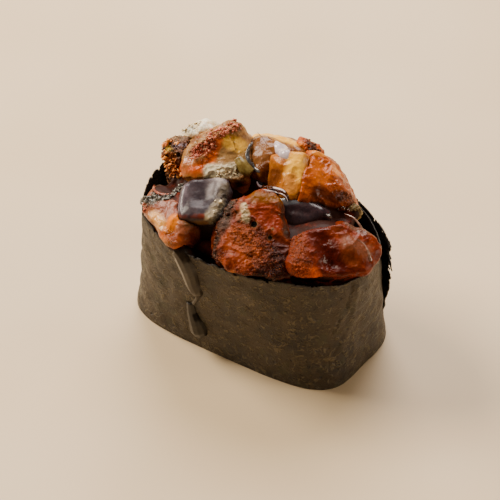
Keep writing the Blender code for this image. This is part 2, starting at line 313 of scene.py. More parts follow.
def buildRoom():
    turn, lift = math.radians(room["turn"]), math.radians(room["lift"])
    back = Vector((math.sin(turn) * math.cos(lift), -math.cos(turn) * math.cos(lift), math.sin(lift)))
    aside = Vector((math.cos(turn), math.sin(turn), 0))
    above = back.cross(aside)
    camera = bpy.data.objects.new("camera", bpy.data.cameras.new("camera"))
    bpy.context.scene.collection.objects.link(camera)
    spot = back * room["away"] + aside * room["aside"] + above * room["above"]
    camera.matrix_world = Matrix.Translation(spot * mm) @ Matrix((aside, above, back)).transposed().to_4x4()
    camera.data.lens = room["lens"]
    camera.data.sensor_width = 36
    camera.data.clip_start = 0.01
    bpy.context.scene.camera = camera
    centre = (cadBox[0] + cadBox[1]) / 2
    for name, (way, away, size, watts, colour) in lamps.items():
        lamp = bpy.data.objects.new(name, bpy.data.lights.new(name, "AREA"))
        bpy.context.scene.collection.objects.link(lamp)
        lamp.data.shape = "DISK"
        lamp.data.size = size
        lamp.data.energy = watts
        lamp.data.color = colour[:3]
        lamp.location = centre + Vector(way).normalized() * away
        lamp.rotation_euler = Vector(way).to_track_quat("Z", "Y").to_euler()
    world = bpy.data.worlds.new("air")
    world.use_nodes = True
    world.node_tree.nodes["Background"].inputs["Color"].default_value = room["air"]
    world.node_tree.nodes["Background"].inputs["Strength"].default_value = room["airPower"]
    bpy.context.scene.world = world
    bpy.ops.mesh.primitive_plane_add(size=room["floor"])
    floor = named("floor")
    recipe = Recipe("paleFloor")
    cloud = recipe.step(recipe.noise(recipe.place(), 60, 2.0), 0.35, 0.65)
    floor.data.materials.append(recipe.finish(recipe.mix(cloud, room["floorTint"], room["floorMottle"]), 0.6))


# The eel. Each piece is painted by strokes: from and to as shares of its box, reach and softness in mm,
# colour and, where it differs, roughness. Presses move its skin along strokes (reach and height in mm),
# and crumble and flake say where its flesh is crumbly or fibrous (reach in mm, height in mm).

eel = {
    "voxel": 0.14, "smooth": 2, "lump": 0.2, "grow": 0.42, "torn": 0.42, "grain": 0.16, "seamSauceShade": 0.45, "seamShadeNear": 0.1, "seamShadeFar": 0.6,
    "sauce": tint(38, 15, 7),
}

darkSquare = {
    "name": "darkSquare", "node": "eel_dark_square", "slot": "eel_skin", "seamSauceShade": 0.7, "torn": 0.03, "grain": 0.02,
    "smooth": 1, "glintTint": tint(200, 190, 160), "gloss": 0.06, "pits": 0.3, "lump": 0.06, "bump": 0.08, "shine": 0.18,
    "base": tint(66, 56, 60), "mottle": tint(48, 40, 45), "rough": 0.34,
    "paint": [
        # the first three strokes: lighter lavender-grey on the left edge and top, painted sheen where the glossy skin
        # reflects the light
        ((0.05, 0.49, 0.79), (0.22, 0.10, 0.48), 0.6, 0.7, tint(132, 118, 126)),
        ((0.48, 0.82, 0.92), (0.56, 0.60, 0.82), 1.0, 0.8, tint(118, 108, 108)),
        ((0.36, 0.95, 0.95), (0.66, 0.79, 0.93), 0.9, 0.5, tint(158, 146, 140)),
        ((0.70, 0.80, 0.93), (0.82, 0.48, 0.71), 0.9, 0.5, tint(92, 80, 62), 0.5),
        ((0.82, 0.48, 0.71), (0.80, 0.20, 0.57), 1.2, 0.5, tint(150, 134, 104), 0.5),
        ((0.25, 0.02, 0.45), (0.68, 0.15, 0.62), 0.5, 0.3, tint(112, 48, 32)),
        ((0.27, 0.00, 0.22), (0.75, 0.12, 0.40), 0.8, 0.4, tint(114, 80, 46), 0.45),
        ((0.62, 0.58, 0.83), (0.66, 0.55, 0.82), 0.18, 0.2, tint(16, 12, 12)),
        ((0.73, 0.35, 0.70), (0.74, 0.30, 0.69), 0.16, 0.2, tint(16, 12, 12)),
    ],
    "wet": [((0.05, 0.49, 0.79), (0.22, 0.10, 0.48), 1.0), ((0.10, 0.55, 0.80), (0.35, 0.90, 0.90), 0.8)],
    "pulls": [((0.70, 1.00, 1.00), (0.75, 1.00, 1.00), 2.2, (-0.7, -0.4, -0.4))],
    "presses": [
        ((0.35, 0.53, 0.81), (0.45, 0.45, 0.77), 2.6, -0.45),
        ((0.05, 0.49, 0.79), (0.22, 0.10, 0.48), 0.9, 0.25),
        ((0.66, 0.85, 0.95), (0.82, 0.48, 0.71), 1.2, 0.55),
        ((0.82, 0.48, 0.71), (0.85, 0.20, 0.57), 1.4, 0.45),
    ],
    "crumble": [((0.85, 0.60, 0.80), (0.92, 0.20, 0.50), 1.3, 0.35)],
    "flake": [((0.70, 0.85, 0.93), (0.85, 0.20, 0.57), 1.3, 0.45)],
}
leftEdge = {
    "name": "leftEdge", "node": "eel_left_edge", "slot": "eel_amber", "torn": 0.22, "grain": 0.05, "pits": 0.3,
    "grow": 0.05,
    "base": tint(146, 86, 56), "mottle": tint(124, 66, 40), "rough": 0.3,
    "paint": [
        ((0.32, 0.36, 0.72), (0.47, 0.26, 0.70), 1.2, 0.8, tint(226, 160, 78)),
        ((0.30, 0.50, 0.88), (0.55, 0.48, 0.92), 1.5, 0.9, tint(140, 78, 58)),
        ((0.10, 0.50, 0.76), (0.27, 0.62, 0.90), 1.0, 0.5, tint(98, 92, 82), 0.35),
        ((0.27, 0.66, 0.92), (0.55, 0.80, 0.99), 1.2, 0.5, tint(110, 104, 92), 0.35),
        ((0.62, 0.34, 0.84), (0.62, 0.20, 0.70), 1.2, 0.5, tint(224, 122, 10)),
        ((0.72, 0.12, 0.62), (0.92, 0.30, 0.56), 1.5, 0.6, tint(136, 56, 4)),
        ((0.58, 0.10, 0.52), (0.80, 0.14, 0.50), 1.5, 0.7, tint(190, 88, 4)),
        ((0.60, 0.10, 0.50), (0.72, 0.08, 0.58), 0.7, 0.5, tint(156, 94, 26)),
        ((0.98, 0.50, 0.40), (0.99, 0.42, 0.40), 1.6, 0.8, tint(84, 22, 2)),
        ((0.81, 0.40, 0.86), (0.92, 0.60, 0.70), 0.8, 0.4, tint(106, 68, 36)),
        ((0.09, 0.72, 0.88), (0.33, 0.70, 0.96), 0.15, 0.2, tint(156, 70, 50)),
    ],
    "wet": [((0.12, 0.50, 0.80), (0.50, 0.75, 0.98), 0.8), ((0.40, 0.30, 0.72), (0.62, 0.20, 0.70), 0.8)],
    "pulls": [
        ((0.15, 0.78, 0.92), (0.60, 0.90, 0.98), 3.0, (0.3, -1.1, -1.7)),
        ((0.45, 0.00, 0.25), (0.90, 0.15, 0.25), 3.0, (-0.3, 1.1, 1.3)),
        ((0.20, 0.20, 0.35), (0.25, 0.15, 0.40), 2.5, (0.9, 0.9, 0.4)),
    ],
    "presses": [
        ((0.50, 0.22, 0.74), (0.68, 0.20, 0.76), 0.8, -0.35),
        ((0.62, 0.34, 0.84), (0.62, 0.22, 0.70), 1.0, 0.35),
        ((0.75, 0.11, 0.62), (0.88, 0.25, 0.58), 1.3, 0.35),
        ((0.09, 0.72, 0.88), (0.50, 0.78, 0.98), 0.8, 0.4),
    ],
    "crumble": [((0.10, 0.50, 0.76), (0.20, 0.60, 0.80), 1.2, 0.3), ((0.62, 0.20, 0.66), (0.75, 0.1, 0.6), 1.0, 0.2)],
    "flake": [((0.15, 0.66, 0.88), (0.55, 0.80, 0.99), 1.3, 0.35)],
}
centreFront = {
    "name": "centreFront", "node": "eel_centre_front", "slot": "eel_flesh", "seamSauceShade": 0.8,
    "base": tint(134, 52, 5), "mottle": tint(98, 30, 3), "rough": 0.34, "shine": 0.14, "gloss": 0.16,
    "paint": [
        ((0.41, 0.35, 0.77), (0.59, 0.23, 0.67), 2.2, 1.2, tint(152, 64, 4)),
        ((0.30, 0.26, 0.62), (0.44, 0.16, 0.52), 1.2, 0.7, tint(142, 60, 4)),
        ((0.48, 0.68, 0.92), (0.66, 0.66, 0.86), 1.7, 0.9, tint(120, 40, 12)),
        ((0.35, 0.80, 1.00), (0.52, 0.92, 0.95), 1.5, 0.7, tint(112, 66, 6)),
        ((0.62, 0.88, 0.85), (0.78, 0.64, 0.74), 1.0, 0.6, tint(72, 40, 26)),
        ((0.80, 0.45, 0.65), (0.92, 0.28, 0.45), 2.2, 1.2, tint(60, 16, 3)),
        ((0.78, 0.12, 0.45), (0.92, 0.30, 0.30), 1.6, 1.0, tint(44, 12, 4)),
        ((0.14, 0.64, 0.86), (0.20, 0.38, 0.78), 1.3, 0.7, tint(84, 68, 54), 0.5),
        ((0.20, 0.38, 0.78), (0.22, 0.16, 0.40), 1.2, 0.6, tint(76, 54, 44), 0.45),
        ((0.28, 0.20, 0.66), (0.29, 0.09, 0.36), 0.7, 0.5, tint(122, 66, 52)),
        ((0.30, 0.64, 0.93), (0.37, 0.54, 0.86), 0.8, 0.4, tint(236, 220, 170), 0.5),
        ((0.24, 0.66, 0.90), (0.32, 0.51, 0.83), 0.6, 0.5, tint(118, 102, 76), 0.5),
        ((0.34, 0.08, 0.24), (0.52, 0.04, 0.40), 0.9, 0.5, tint(176, 92, 20)),
        ((0.30, 0.22, 0.62), (0.34, 0.10, 0.40), 0.5, 0.4, tint(170, 52, 34)),
    ],
    "wet": [((0.60, 0.80, 0.88), (0.70, 0.66, 0.80), 0.6)],
    "pulls": [
        ((0.30, 0.03, 0.20), (0.78, 0.05, 0.25), 3.4, (-0.2, 0.8, 1.0)),
        ((0.33, 0.88, 0.95), (0.56, 0.90, 0.92), 2.6, (-0.3, 0.9, 0.7)),
    ],
    "presses": [
        ((0.47, 0.53, 0.84), (0.47, 0.53, 0.84), 0.9, -1.0),
        ((0.65, 0.59, 0.81), (0.65, 0.59, 0.81), 0.6, -0.6),
        ((0.67, 0.50, 0.75), (0.67, 0.50, 0.75), 0.7, -0.7),
        ((0.30, 0.66, 0.93), (0.37, 0.54, 0.86), 1.2, 0.35),
        ((0.55, 0.45, 0.78), (0.82, 0.50, 0.70), 1.4, -0.4),
        ((0.60, 0.36, 0.75), (0.72, 0.20, 0.62), 1.0, 0.25),
        ((0.45, 0.10, 0.40), (0.62, 0.20, 0.66), 0.9, -0.4),
    ],
    "crumble": [
        ((0.14, 0.60, 0.84), (0.25, 0.12, 0.40), 1.9, 0.5),
        ((0.30, 0.12, 0.50), (0.40, 0.06, 0.30), 1.5, 0.4),
        ((0.45, 0.40, 0.78), (0.80, 0.24, 0.60), 3.0, 0.3),
        ((0.60, 0.10, 0.40), (0.85, 0.15, 0.40), 2.0, 0.35),
    ],
    "flake": [((0.22, 0.68, 0.90), (0.36, 0.52, 0.84), 1.4, 0.5)],
    # shadedHoles: centres and radii of holes whose insides are painted near-black as shade
    "shadedHoles": [((0.47, 0.53, 0.84), 0.62), ((0.65, 0.59, 0.81), 0.34), ((0.67, 0.50, 0.75), 0.42)],
}
rightEnd = {
    "name": "rightEnd", "node": "eel_right_end", "slot": "eel_flesh", "torn": 0.3, "grain": 0.1, "seamSauceShade": 0.8,
    "base": tint(122, 42, 4), "mottle": tint(92, 26, 3), "rough": 0.34, "shine": 0.14, "gloss": 0.16,
    "paint": [
        ((0.30, 0.58, 0.96), (0.55, 0.70, 0.98), 1.1, 0.8, tint(100, 38, 8)),
        ((0.43, 0.50, 0.92), (0.67, 0.34, 0.60), 2.3, 1.2, tint(76, 18, 3)),
        ((0.60, 0.45, 0.85), (0.80, 0.38, 0.55), 1.6, 1.0, tint(68, 14, 3)),
        ((0.23, 0.39, 0.85), (0.41, 0.10, 0.72), 1.5, 0.7, tint(138, 54, 6)),
        ((0.45, 0.08, 0.66), (0.58, 0.14, 0.55), 1.4, 0.6, tint(200, 78, 2)),
        ((0.54, 0.30, 0.73), (0.68, 0.22, 0.55), 0.3, 0.4, tint(116, 62, 52)),
        ((0.75, 0.62, 0.88), (0.92, 0.66, 0.70), 1.7, 0.8, tint(114, 62, 38)),
        ((0.80, 0.50, 0.75), (0.91, 0.51, 0.64), 1.1, 0.7, tint(108, 46, 12)),
        ((0.61, 0.85, 0.90), (0.80, 0.86, 0.76), 1.3, 0.5, tint(94, 60, 46)),
        ((0.93, 0.80, 0.70), (0.96, 0.74, 0.60), 0.8, 0.5, tint(112, 80, 54)),
        ((0.44, 0.03, 0.46), (0.56, 0.06, 0.40), 0.5, 0.4, tint(112, 68, 50)),
    ],
    "wet": [((0.60, 0.85, 0.90), (0.85, 0.85, 0.75), 1.6), ((0.45, 0.60, 0.95), (0.67, 0.30, 0.60), 1.2)],
    "pulls": [
        ((0.12, 0.55, 0.85), (0.38, 0.82, 0.98), 2.6, (0.4, -1.3, -1.5)),
        ((0.35, 0.02, 0.30), (0.95, 0.35, 0.30), 3.0, (-0.3, 0.8, 1.0)),
        ((1.00, 0.55, 0.55), (0.95, 0.85, 0.60), 3.4, (1.1, 0.4, 0.0)),
        ((0.78, 0.85, 0.76), (0.95, 0.80, 0.60), 2.2, (0.3, 0.8, 0.5)),
    ],
    "presses": [
        ((0.50, 0.50, 0.88), (0.67, 0.36, 0.64), 1.9, -0.6),
        ((0.52, 0.32, 0.75), (0.67, 0.22, 0.55), 0.6, 0.35),
        ((0.23, 0.39, 0.85), (0.45, 0.10, 0.68), 1.6, 0.3),
        ((0.78, 0.62, 0.86), (0.92, 0.62, 0.68), 1.7, 0.5),
    ],
    "crumble": [((0.20, 0.42, 0.80), (0.45, 0.08, 0.68), 1.9, 0.4), ((0.30, 0.10, 0.50), (0.50, 0.1, 0.5), 1.4, 0.3)],
    "flake": [((0.80, 0.62, 0.82), (0.92, 0.60, 0.66), 1.5, 0.2)],
}
skinStrip = {
    "name": "skinStrip", "node": "eel_skin_strip", "slot": "eel_skin", "seamSauceShade": 0.2, "torn": 0.05, "grain": 0.02,
    "lump": 0.06, "bump": 0.08, "shine": 0.4,
    "base": tint(52, 34, 38), "mottle": tint(36, 24, 30), "rough": 0.3,
    "paint": [
        # the first three strokes: a light blue-grey band along the top, a painted highlight where the skin catches the
        # light
        ((0.24, 0.55, 0.92), (0.57, 0.88, 0.92), 1.7, 0.3, tint(100, 104, 112)),
        ((0.57, 0.88, 0.90), (0.90, 0.95, 0.72), 1.5, 0.3, tint(120, 122, 126)),
        ((0.20, 0.34, 0.95), (0.30, 0.42, 0.97), 0.5, 0.4, tint(124, 118, 116)),
        ((0.39, 0.10, 0.66), (0.80, 0.40, 0.40), 1.6, 0.7, tint(50, 30, 32)),
        ((0.45, 0.42, 0.95), (0.62, 0.55, 0.98), 0.15, 0.2, tint(30, 30, 36)),
    ],
    "wet": [((0.26, 0.45, 0.97), (0.95, 0.80, 0.85), 1.2)],
    "pulls": [((0.20, 0.00, 0.75), (0.75, 0.20, 0.65), 3.0, (0.2, -1.5, -0.3)), ((0.3, 0.6, 1.0), (0.9, 0.9, 0.9), 2.0, (0, 0, 0.5)),
              ((0.95, 0.90, 0.75), (1.00, 0.95, 0.70), 1.6, (0.9, -0.1, 0.2))],
    "presses": [((0.45, 0.30, 0.93), (0.90, 0.62, 0.85), 0.8, -0.25), ((0.26, 0.5, 1.0), (0.95, 0.85, 0.85), 0.8, 0.4)],
    "crumble": [((0.93, 0.80, 0.80), (0.98, 0.80, 0.75), 0.9, 0.25)],
    "flake": [],
}
topFold = {
    "name": "topFold", "node": "eel_top_fold", "slot": "eel_amber", "torn": 0.16, "grain": 0.04, "seamSauceShade": 0.25,
    "base": tint(184, 108, 26), "mottle": tint(160, 88, 18), "rough": 0.26,
    "paint": [
        ((0.58, 0.50, 0.92), (0.64, 0.30, 0.80), 1.7, 0.7, tint(255, 190, 60)),
        ((0.62, 0.25, 0.74), (0.72, 0.12, 0.62), 1.3, 0.7, tint(206, 134, 56)),
        ((0.34, 0.25, 0.66), (0.30, 0.10, 0.40), 1.8, 0.8, tint(106, 54, 16)),
        ((0.88, 0.26, 0.66), (0.90, 0.42, 0.70), 1.0, 0.6, tint(158, 88, 8)),
        ((0.58, 0.53, 0.94), (0.53, 0.19, 0.70), 0.2, 0.3, tint(240, 160, 90)),
        ((0.53, 0.19, 0.70), (0.60, 0.08, 0.60), 0.2, 0.3, tint(176, 122, 84)),
        ((0.66, 0.80, 0.86), (0.79, 0.37, 0.78), 0.4, 0.3, tint(252, 184, 116)),
        ((0.79, 0.37, 0.78), (0.83, 0.14, 0.62), 0.2, 0.3, tint(170, 110, 60)),
        ((0.60, 0.02, 0.45), (0.90, 0.05, 0.48), 0.6, 0.5, tint(112, 80, 56)),
    ],
    "wet": [((0.58, 0.53, 0.94), (0.54, 0.14, 0.66), 0.6)],
    "pulls": [((0.15, 0.75, 0.85), (0.48, 0.85, 0.95), 2.4, (-0.3, 0.3, -1.7))],
    "presses": [
        ((0.58, 0.53, 0.94), (0.54, 0.14, 0.66), 0.5, 0.22),
        ((0.68, 0.80, 0.86), (0.83, 0.14, 0.62), 0.6, 0.28),
        ((0.66, 0.50, 0.88), (0.70, 0.20, 0.68), 1.0, -0.25),
        ((0.86, 0.45, 0.74), (0.90, 0.20, 0.58), 0.8, -0.25),
    ],
    "crumble": [],
    "flake": [((0.62, 0.50, 0.90), (0.70, 0.15, 0.64), 1.3, 0.12)],
}
topMiddle = {
    "name": "topMiddle", "node": "eel_top_middle", "slot": "eel_amber", "torn": 0.2, "grain": 0.04, "seamSauceShade": 0.2,
    "base": tint(132, 84, 40), "mottle": tint(116, 70, 32), "rough": 0.2,
    "paint": [
        ((0.05, 0.65, 0.80), (0.60, 0.75, 0.97), 1.6, 0.8, tint(246, 180, 60)),
        ((0.26, 0.28, 0.92), (0.50, 0.28, 0.95), 1.7, 0.8, tint(128, 82, 44)),
        ((0.18, 0.18, 0.50), (0.24, 0.14, 0.60), 1.3, 0.6, tint(140, 122, 56)),
        ((0.54, 0.14, 0.80), (0.55, 0.26, 0.50), 1.6, 0.7, tint(84, 36, 6)),
        ((0.12, 0.50, 0.90), (0.20, 0.26, 0.76), 0.42, 0.25, tint(96, 90, 88)),
        ((0.20, 0.26, 0.76), (0.42, 0.10, 0.74), 0.48, 0.25, tint(90, 78, 66)),
        ((0.14, 0.56, 0.92), (0.52, 0.36, 0.96), 0.10, 0.14, tint(110, 58, 26)),
        ((0.36, 0.58, 0.97), (0.78, 0.52, 0.93), 0.10, 0.14, tint(130, 72, 30)),
        ((0.30, 0.40, 0.95), (0.44, 0.46, 0.97), 0.10, 0.14, tint(120, 66, 34)),
        ((0.05, 0.06, 0.30), (0.48, 0.02, 0.42), 2.2, 0.7, tint(42, 22, 8)),
    ],
    "wet": [((0.14, 0.50, 0.92), (0.60, 0.45, 0.95), 1.4), ((0.20, 0.26, 0.76), (0.42, 0.10, 0.74), 0.8)],
    "pulls": [
        ((0.15, 0.80, 0.90), (0.70, 0.88, 0.95), 3.2, (0.2, -0.3, -0.3)),
        ((0.08, 0.06, 0.35), (0.45, 0.00, 0.45), 2.4, (-0.4, 1.2, -0.6)),
    ],
    "presses": [
        ((0.12, 0.50, 0.90), (0.20, 0.26, 0.76), 0.7, -0.35),
        ((0.20, 0.26, 0.76), (0.42, 0.10, 0.74), 0.7, -0.3),
        ((0.44, 0.46, 0.97), (0.64, 0.46, 0.94), 1.3, 0.45),
        ((0.14, 0.56, 0.92), (0.52, 0.36, 0.96), 0.4, -0.18),
    ],
    "crumble": [],
    "flake": [],
}
topLeft = {
    "name": "topLeft", "node": "eel_top_left", "slot": "eel_amber", "torn": 0.26, "grain": 0.08, "pits": 0.35, "seamSauceShade": 0.3, "grow": 0.3,
    "base": tint(172, 126, 74), "mottle": tint(146, 98, 52), "rough": 0.3,
    "paint": [
        ((0.65, 0.45, 0.72), (0.84, 0.48, 0.70), 1.9, 0.9, tint(150, 112, 66)),
        ((0.62, 0.55, 0.83), (0.76, 0.58, 0.80), 1.3, 0.6, tint(224, 170, 62)),
        ((0.51, 0.48, 0.84), (0.53, 0.28, 0.62), 1.0, 0.6, tint(222, 100, 8)),
        ((0.20, 0.16, 0.36), (0.49, 0.10, 0.54), 1.9, 0.7, tint(188, 76, 4)),
        ((0.41, 0.02, 0.44), (0.52, 0.06, 0.48), 1.2, 0.6, tint(146, 92, 40)),
        ((0.30, 0.13, 0.60), (0.36, 0.20, 0.64), 0.8, 0.5, tint(176, 100, 64)),
        ((0.44, 0.20, 0.60), (0.50, 0.26, 0.62), 0.8, 0.5, tint(150, 60, 4)),
        ((0.34, 0.26, 0.69), (0.47, 0.40, 0.80), 1.0, 0.5, tint(226, 110, 80), 0.3),
        ((0.44, 0.46, 0.86), (0.62, 0.72, 0.95), 0.6, 0.4, tint(240, 150, 90), 0.5),
        ((0.24, 0.40, 0.74), (0.28, 0.42, 0.78), 0.8, 0.4, tint(96, 34, 6)),
        ((0.59, 0.17, 0.55), (0.82, 0.32, 0.58), 1.4, 0.5, tint(202, 188, 154), 0.5),
        ((0.60, 0.10, 0.46), (0.76, 0.18, 0.48), 1.1, 0.5, tint(176, 162, 128), 0.5),
        ((0.86, 0.40, 0.60), (0.92, 0.45, 0.60), 0.9, 0.5, tint(130, 112, 62), 0.4),
        ((0.60, 0.62, 0.89), (0.77, 0.52, 0.76), 0.1, 0.14, tint(110, 66, 30)),
        ((0.84, 0.08, 0.10), (0.97, 0.22, 0.42), 1.6, 0.6, tint(46, 26, 12)),
    ],
    "wet": [((0.26, 0.14, 0.58), (0.45, 0.18, 0.62), 0.8), ((0.60, 0.50, 0.80), (0.84, 0.45, 0.70), 0.9)],
    "pulls": [
        ((0.84, 0.02, 0.10), (0.98, 0.15, 0.30), 2.2, (-0.3, 1.1, -0.5)),
        ((0.94, 0.40, 0.62), (0.96, 0.32, 0.50), 2.0, (1.1, 0.0, 0.1)),
    ],
    "presses": [
        ((0.20, 0.16, 0.40), (0.49, 0.08, 0.52), 1.5, 0.35),
        ((0.34, 0.26, 0.70), (0.47, 0.38, 0.80), 1.0, -0.3),
        ((0.42, 0.44, 0.86), (0.63, 0.74, 0.96), 0.8, 0.5),
        ((0.36, 0.10, 0.50), (0.52, 0.16, 0.56), 0.5, -0.3),
        ((0.60, 0.62, 0.89), (0.77, 0.52, 0.76), 0.4, -0.22),
        ((0.59, 0.20, 0.57), (0.84, 0.36, 0.60), 1.2, 0.3),
    ],
    "crumble": [
        ((0.34, 0.26, 0.69), (0.47, 0.40, 0.80), 1.4, 0.55),
        ((0.44, 0.46, 0.86), (0.63, 0.74, 0.96), 1.0, 0.6),
        ((0.88, 0.40, 0.60), (0.92, 0.35, 0.50), 1.2, 0.3),
    ],
    "flake": [((0.59, 0.17, 0.55), (0.86, 0.36, 0.58), 1.5, 0.5), ((0.60, 0.08, 0.44), (0.8, 0.2, 0.46), 1.3, 0.4)],
}
topRight = {
    "name": "topRight", "node": "eel_top_right", "slot": "eel_amber", "torn": 0.3, "grain": 0.08, "seamSauceShade": 0.3, "grow": 0.25,
    "base": tint(170, 80, 8), "mottle": tint(146, 60, 6), "rough": 0.28,
    "paint": [
        ((0.35, 0.49, 0.93), (0.50, 0.37, 0.86), 1.7, 0.8, tint(182, 88, 6)),
        ((0.18, 0.66, 0.97), (0.32, 0.83, 0.90), 0.7, 0.5, tint(224, 136, 40)),
        ((0.53, 0.68, 0.84), (0.69, 0.60, 0.78), 1.3, 0.7, tint(220, 138, 66)),
        ((0.69, 0.58, 0.76), (0.90, 0.52, 0.62), 1.5, 0.7, tint(156, 84, 50)),
        ((0.51, 0.20, 0.79), (0.78, 0.36, 0.70), 1.2, 0.7, tint(84, 32, 8)),
        ((0.62, 0.44, 0.80), (0.60, 0.34, 0.78), 0.9, 0.7, tint(140, 58, 4)),
        ((0.50, 0.08, 0.62), (0.90, 0.26, 0.52), 1.1, 0.5, tint(40, 14, 8)),
        ((0.30, 0.20, 0.60), (0.42, 0.10, 0.50), 0.9, 0.5, tint(112, 64, 24)),
    ],
    "wet": [((0.18, 0.66, 0.97), (0.40, 0.60, 0.92), 0.7)],
    "pulls": [((0.70, 0.85, 0.80), (0.95, 0.70, 0.60), 3.4, (-0.5, -0.4, -0.4))],
    "presses": [
        ((0.18, 0.66, 0.97), (0.32, 0.83, 0.88), 0.8, 0.4),
        ((0.36, 0.55, 0.92), (0.52, 0.42, 0.86), 1.2, -0.3),
        ((0.56, 0.48, 0.85), (0.80, 0.48, 0.70), 0.9, 0.3),
        ((0.20, 0.88, 0.88), (0.24, 0.90, 0.90), 0.6, 0.4),
    ],
    "crumble": [((0.80, 0.40, 0.66), (0.92, 0.48, 0.60), 1.1, 0.25)],
    "flake": [((0.40, 0.60, 0.88), (0.80, 0.45, 0.70), 2.2, 0.22)],
}
backLeft = {
    "name": "backLeft", "node": "eel_back_left", "slot": "eel_flesh",
    "base": tint(132, 86, 50), "mottle": tint(96, 54, 26), "rough": 0.4, "seamSauceShade": 0.25,
    "paint": [
        ((0.10, 0.50, 0.90), (0.30, 0.70, 0.98), 1.1, 0.6, tint(158, 124, 88)),
        ((0.21, 0.22, 0.89), (0.24, 0.24, 0.92), 0.75, 0.4, tint(255, 212, 60)),
        # a lilac patch: painted sheen where the flesh reflects the cool light
        ((0.32, 0.36, 0.95), (0.56, 0.46, 0.98), 0.7, 0.4, tint(150, 128, 136), 0.2),
        # near-black inside the hole pressed in below: painted shade
        ((0.47, 0.19, 0.93), (0.49, 0.20, 0.94), 0.4, 0.3, tint(26, 12, 6)),
        ((0.62, 0.36, 0.98), (0.66, 0.36, 0.98), 0.4, 0.3, tint(36, 16, 8)),
        ((0.30, 0.08, 0.80), (0.52, 0.02, 0.58), 1.4, 0.6, tint(196, 104, 34)),
        ((0.40, 0.06, 0.72), (0.42, 0.06, 0.70), 0.4, 0.3, tint(80, 30, 10)),
        ((0.61, 0.10, 0.69), (0.75, 0.10, 0.60), 0.8, 0.5, tint(80, 28, 16)),
    ],
    "presses": [
        ((0.47, 0.19, 0.93), (0.49, 0.20, 0.94), 0.8, -0.9),
        ((0.12, 0.35, 0.90), (0.14, 0.40, 0.92), 0.9, 0.5),
        ((0.32, 0.36, 0.95), (0.56, 0.46, 0.98), 0.8, 0.3),
    ],
    "crumble": [((0.2, 0.2, 0.9), (0.5, 0.0, 0.5), 3.5, 0.8), ((0.2, 0.6, 0.9), (0.6, 0.5, 0.9), 3.0, 0.5)],
    "flake": [],
}
backPale = {
    "name": "backPale", "node": "eel_back_pale", "slot": "eel_pale", "seamSauceShade": 0.2,
    "base": tint(255, 250, 226), "mottle": tint(238, 214, 168), "rough": 0.34, "torn": 0.3, "paintedGlints": 0.05, "pits": 0.2,
    "paint": [
        ((0.30, 0.05, 0.66), (0.60, 0.05, 0.66), 1.2, 0.6, tint(130, 76, 46)),
        ((0.20, 0.90, 0.30), (0.80, 0.95, 0.15), 2.0, 1.6, tint(196, 160, 112)),
        ((0.55, 0.95, 0.60), (0.85, 0.90, 0.50), 0.9, 1.2, tint(214, 184, 140)),
        ((0.95, 0.60, 0.40), (0.90, 0.90, 0.20), 1.5, 1.4, tint(186, 142, 96)),
        ((0.18, 0.10, 0.60), (0.18, 0.20, 0.70), 1.0, 0.6, tint(150, 116, 96)),
    ],
    "pulls": [
        ((0.70, 0.60, 0.92), (0.90, 0.80, 0.90), 2.8, (0.3, -0.9, -1.4)),
        ((0.02, 0.30, 0.85), (0.10, 0.20, 0.80), 2.6, (-0.6, -0.6, 0.2)),
    ],
    "presses": [((0.25, 0.30, 0.92), (0.55, 0.55, 0.92), 1.1, 0.4)],
    "crumble": [((0.10, 0.40, 0.80), (0.25, 0.30, 0.90), 1.3, 0.4)],
    "flake": [],
}
paleBit = {
    "name": "paleBit", "node": "eel_pale_bit", "slot": "eel_pale", "grow": -0.2,
    "base": tint(168, 146, 96), "mottle": tint(136, 108, 62), "rough": 0.3,
    "paint": [((0.80, 0.40, 0.50), (0.95, 0.50, 0.60), 0.9, 0.5, tint(60, 34, 14))],
    "pulls": [((0.5, 0.2, 0.4), (0.8, 0.3, 0.5), 2.4, (-0.4, 0.7, 0.4))],
    "presses": [], "crumble": [((0.5, 0.5, 0.8), (0.6, 0.5, 0.8), 1.5, 0.3)], "flake": [],
}
backSmall = {
    "name": "backSmall", "node": "eel_back_small", "slot": "eel_flesh",
    "base": tint(184, 84, 14), "mottle": tint(160, 66, 10), "rough": 0.3,
    "paint": [
        ((0.45, 0.60, 1.00), (0.80, 0.45, 0.88), 0.5, 0.4, tint(90, 26, 14), 0.5),
        ((0.20, 0.30, 0.98), (0.24, 0.34, 0.98), 0.8, 0.5, tint(226, 130, 40)),
    ],
    "presses": [((0.45, 0.52, 1.00), (0.78, 0.42, 0.90), 0.7, 0.3)],
    "crumble": [((0.45, 0.55, 1.00), (0.80, 0.42, 0.88), 1.0, 0.45)], "flake": [],
}
eelPieces = [darkSquare, leftEdge, centreFront, rightEnd, skinStrip, topFold, topMiddle, topLeft, topRight,
             backLeft, backPale, paleBit, backSmall]


def stroke(look, line):                        # the two ends of a stroke, in mm
    return share(look["node"], line[0]), share(look["node"], line[1])


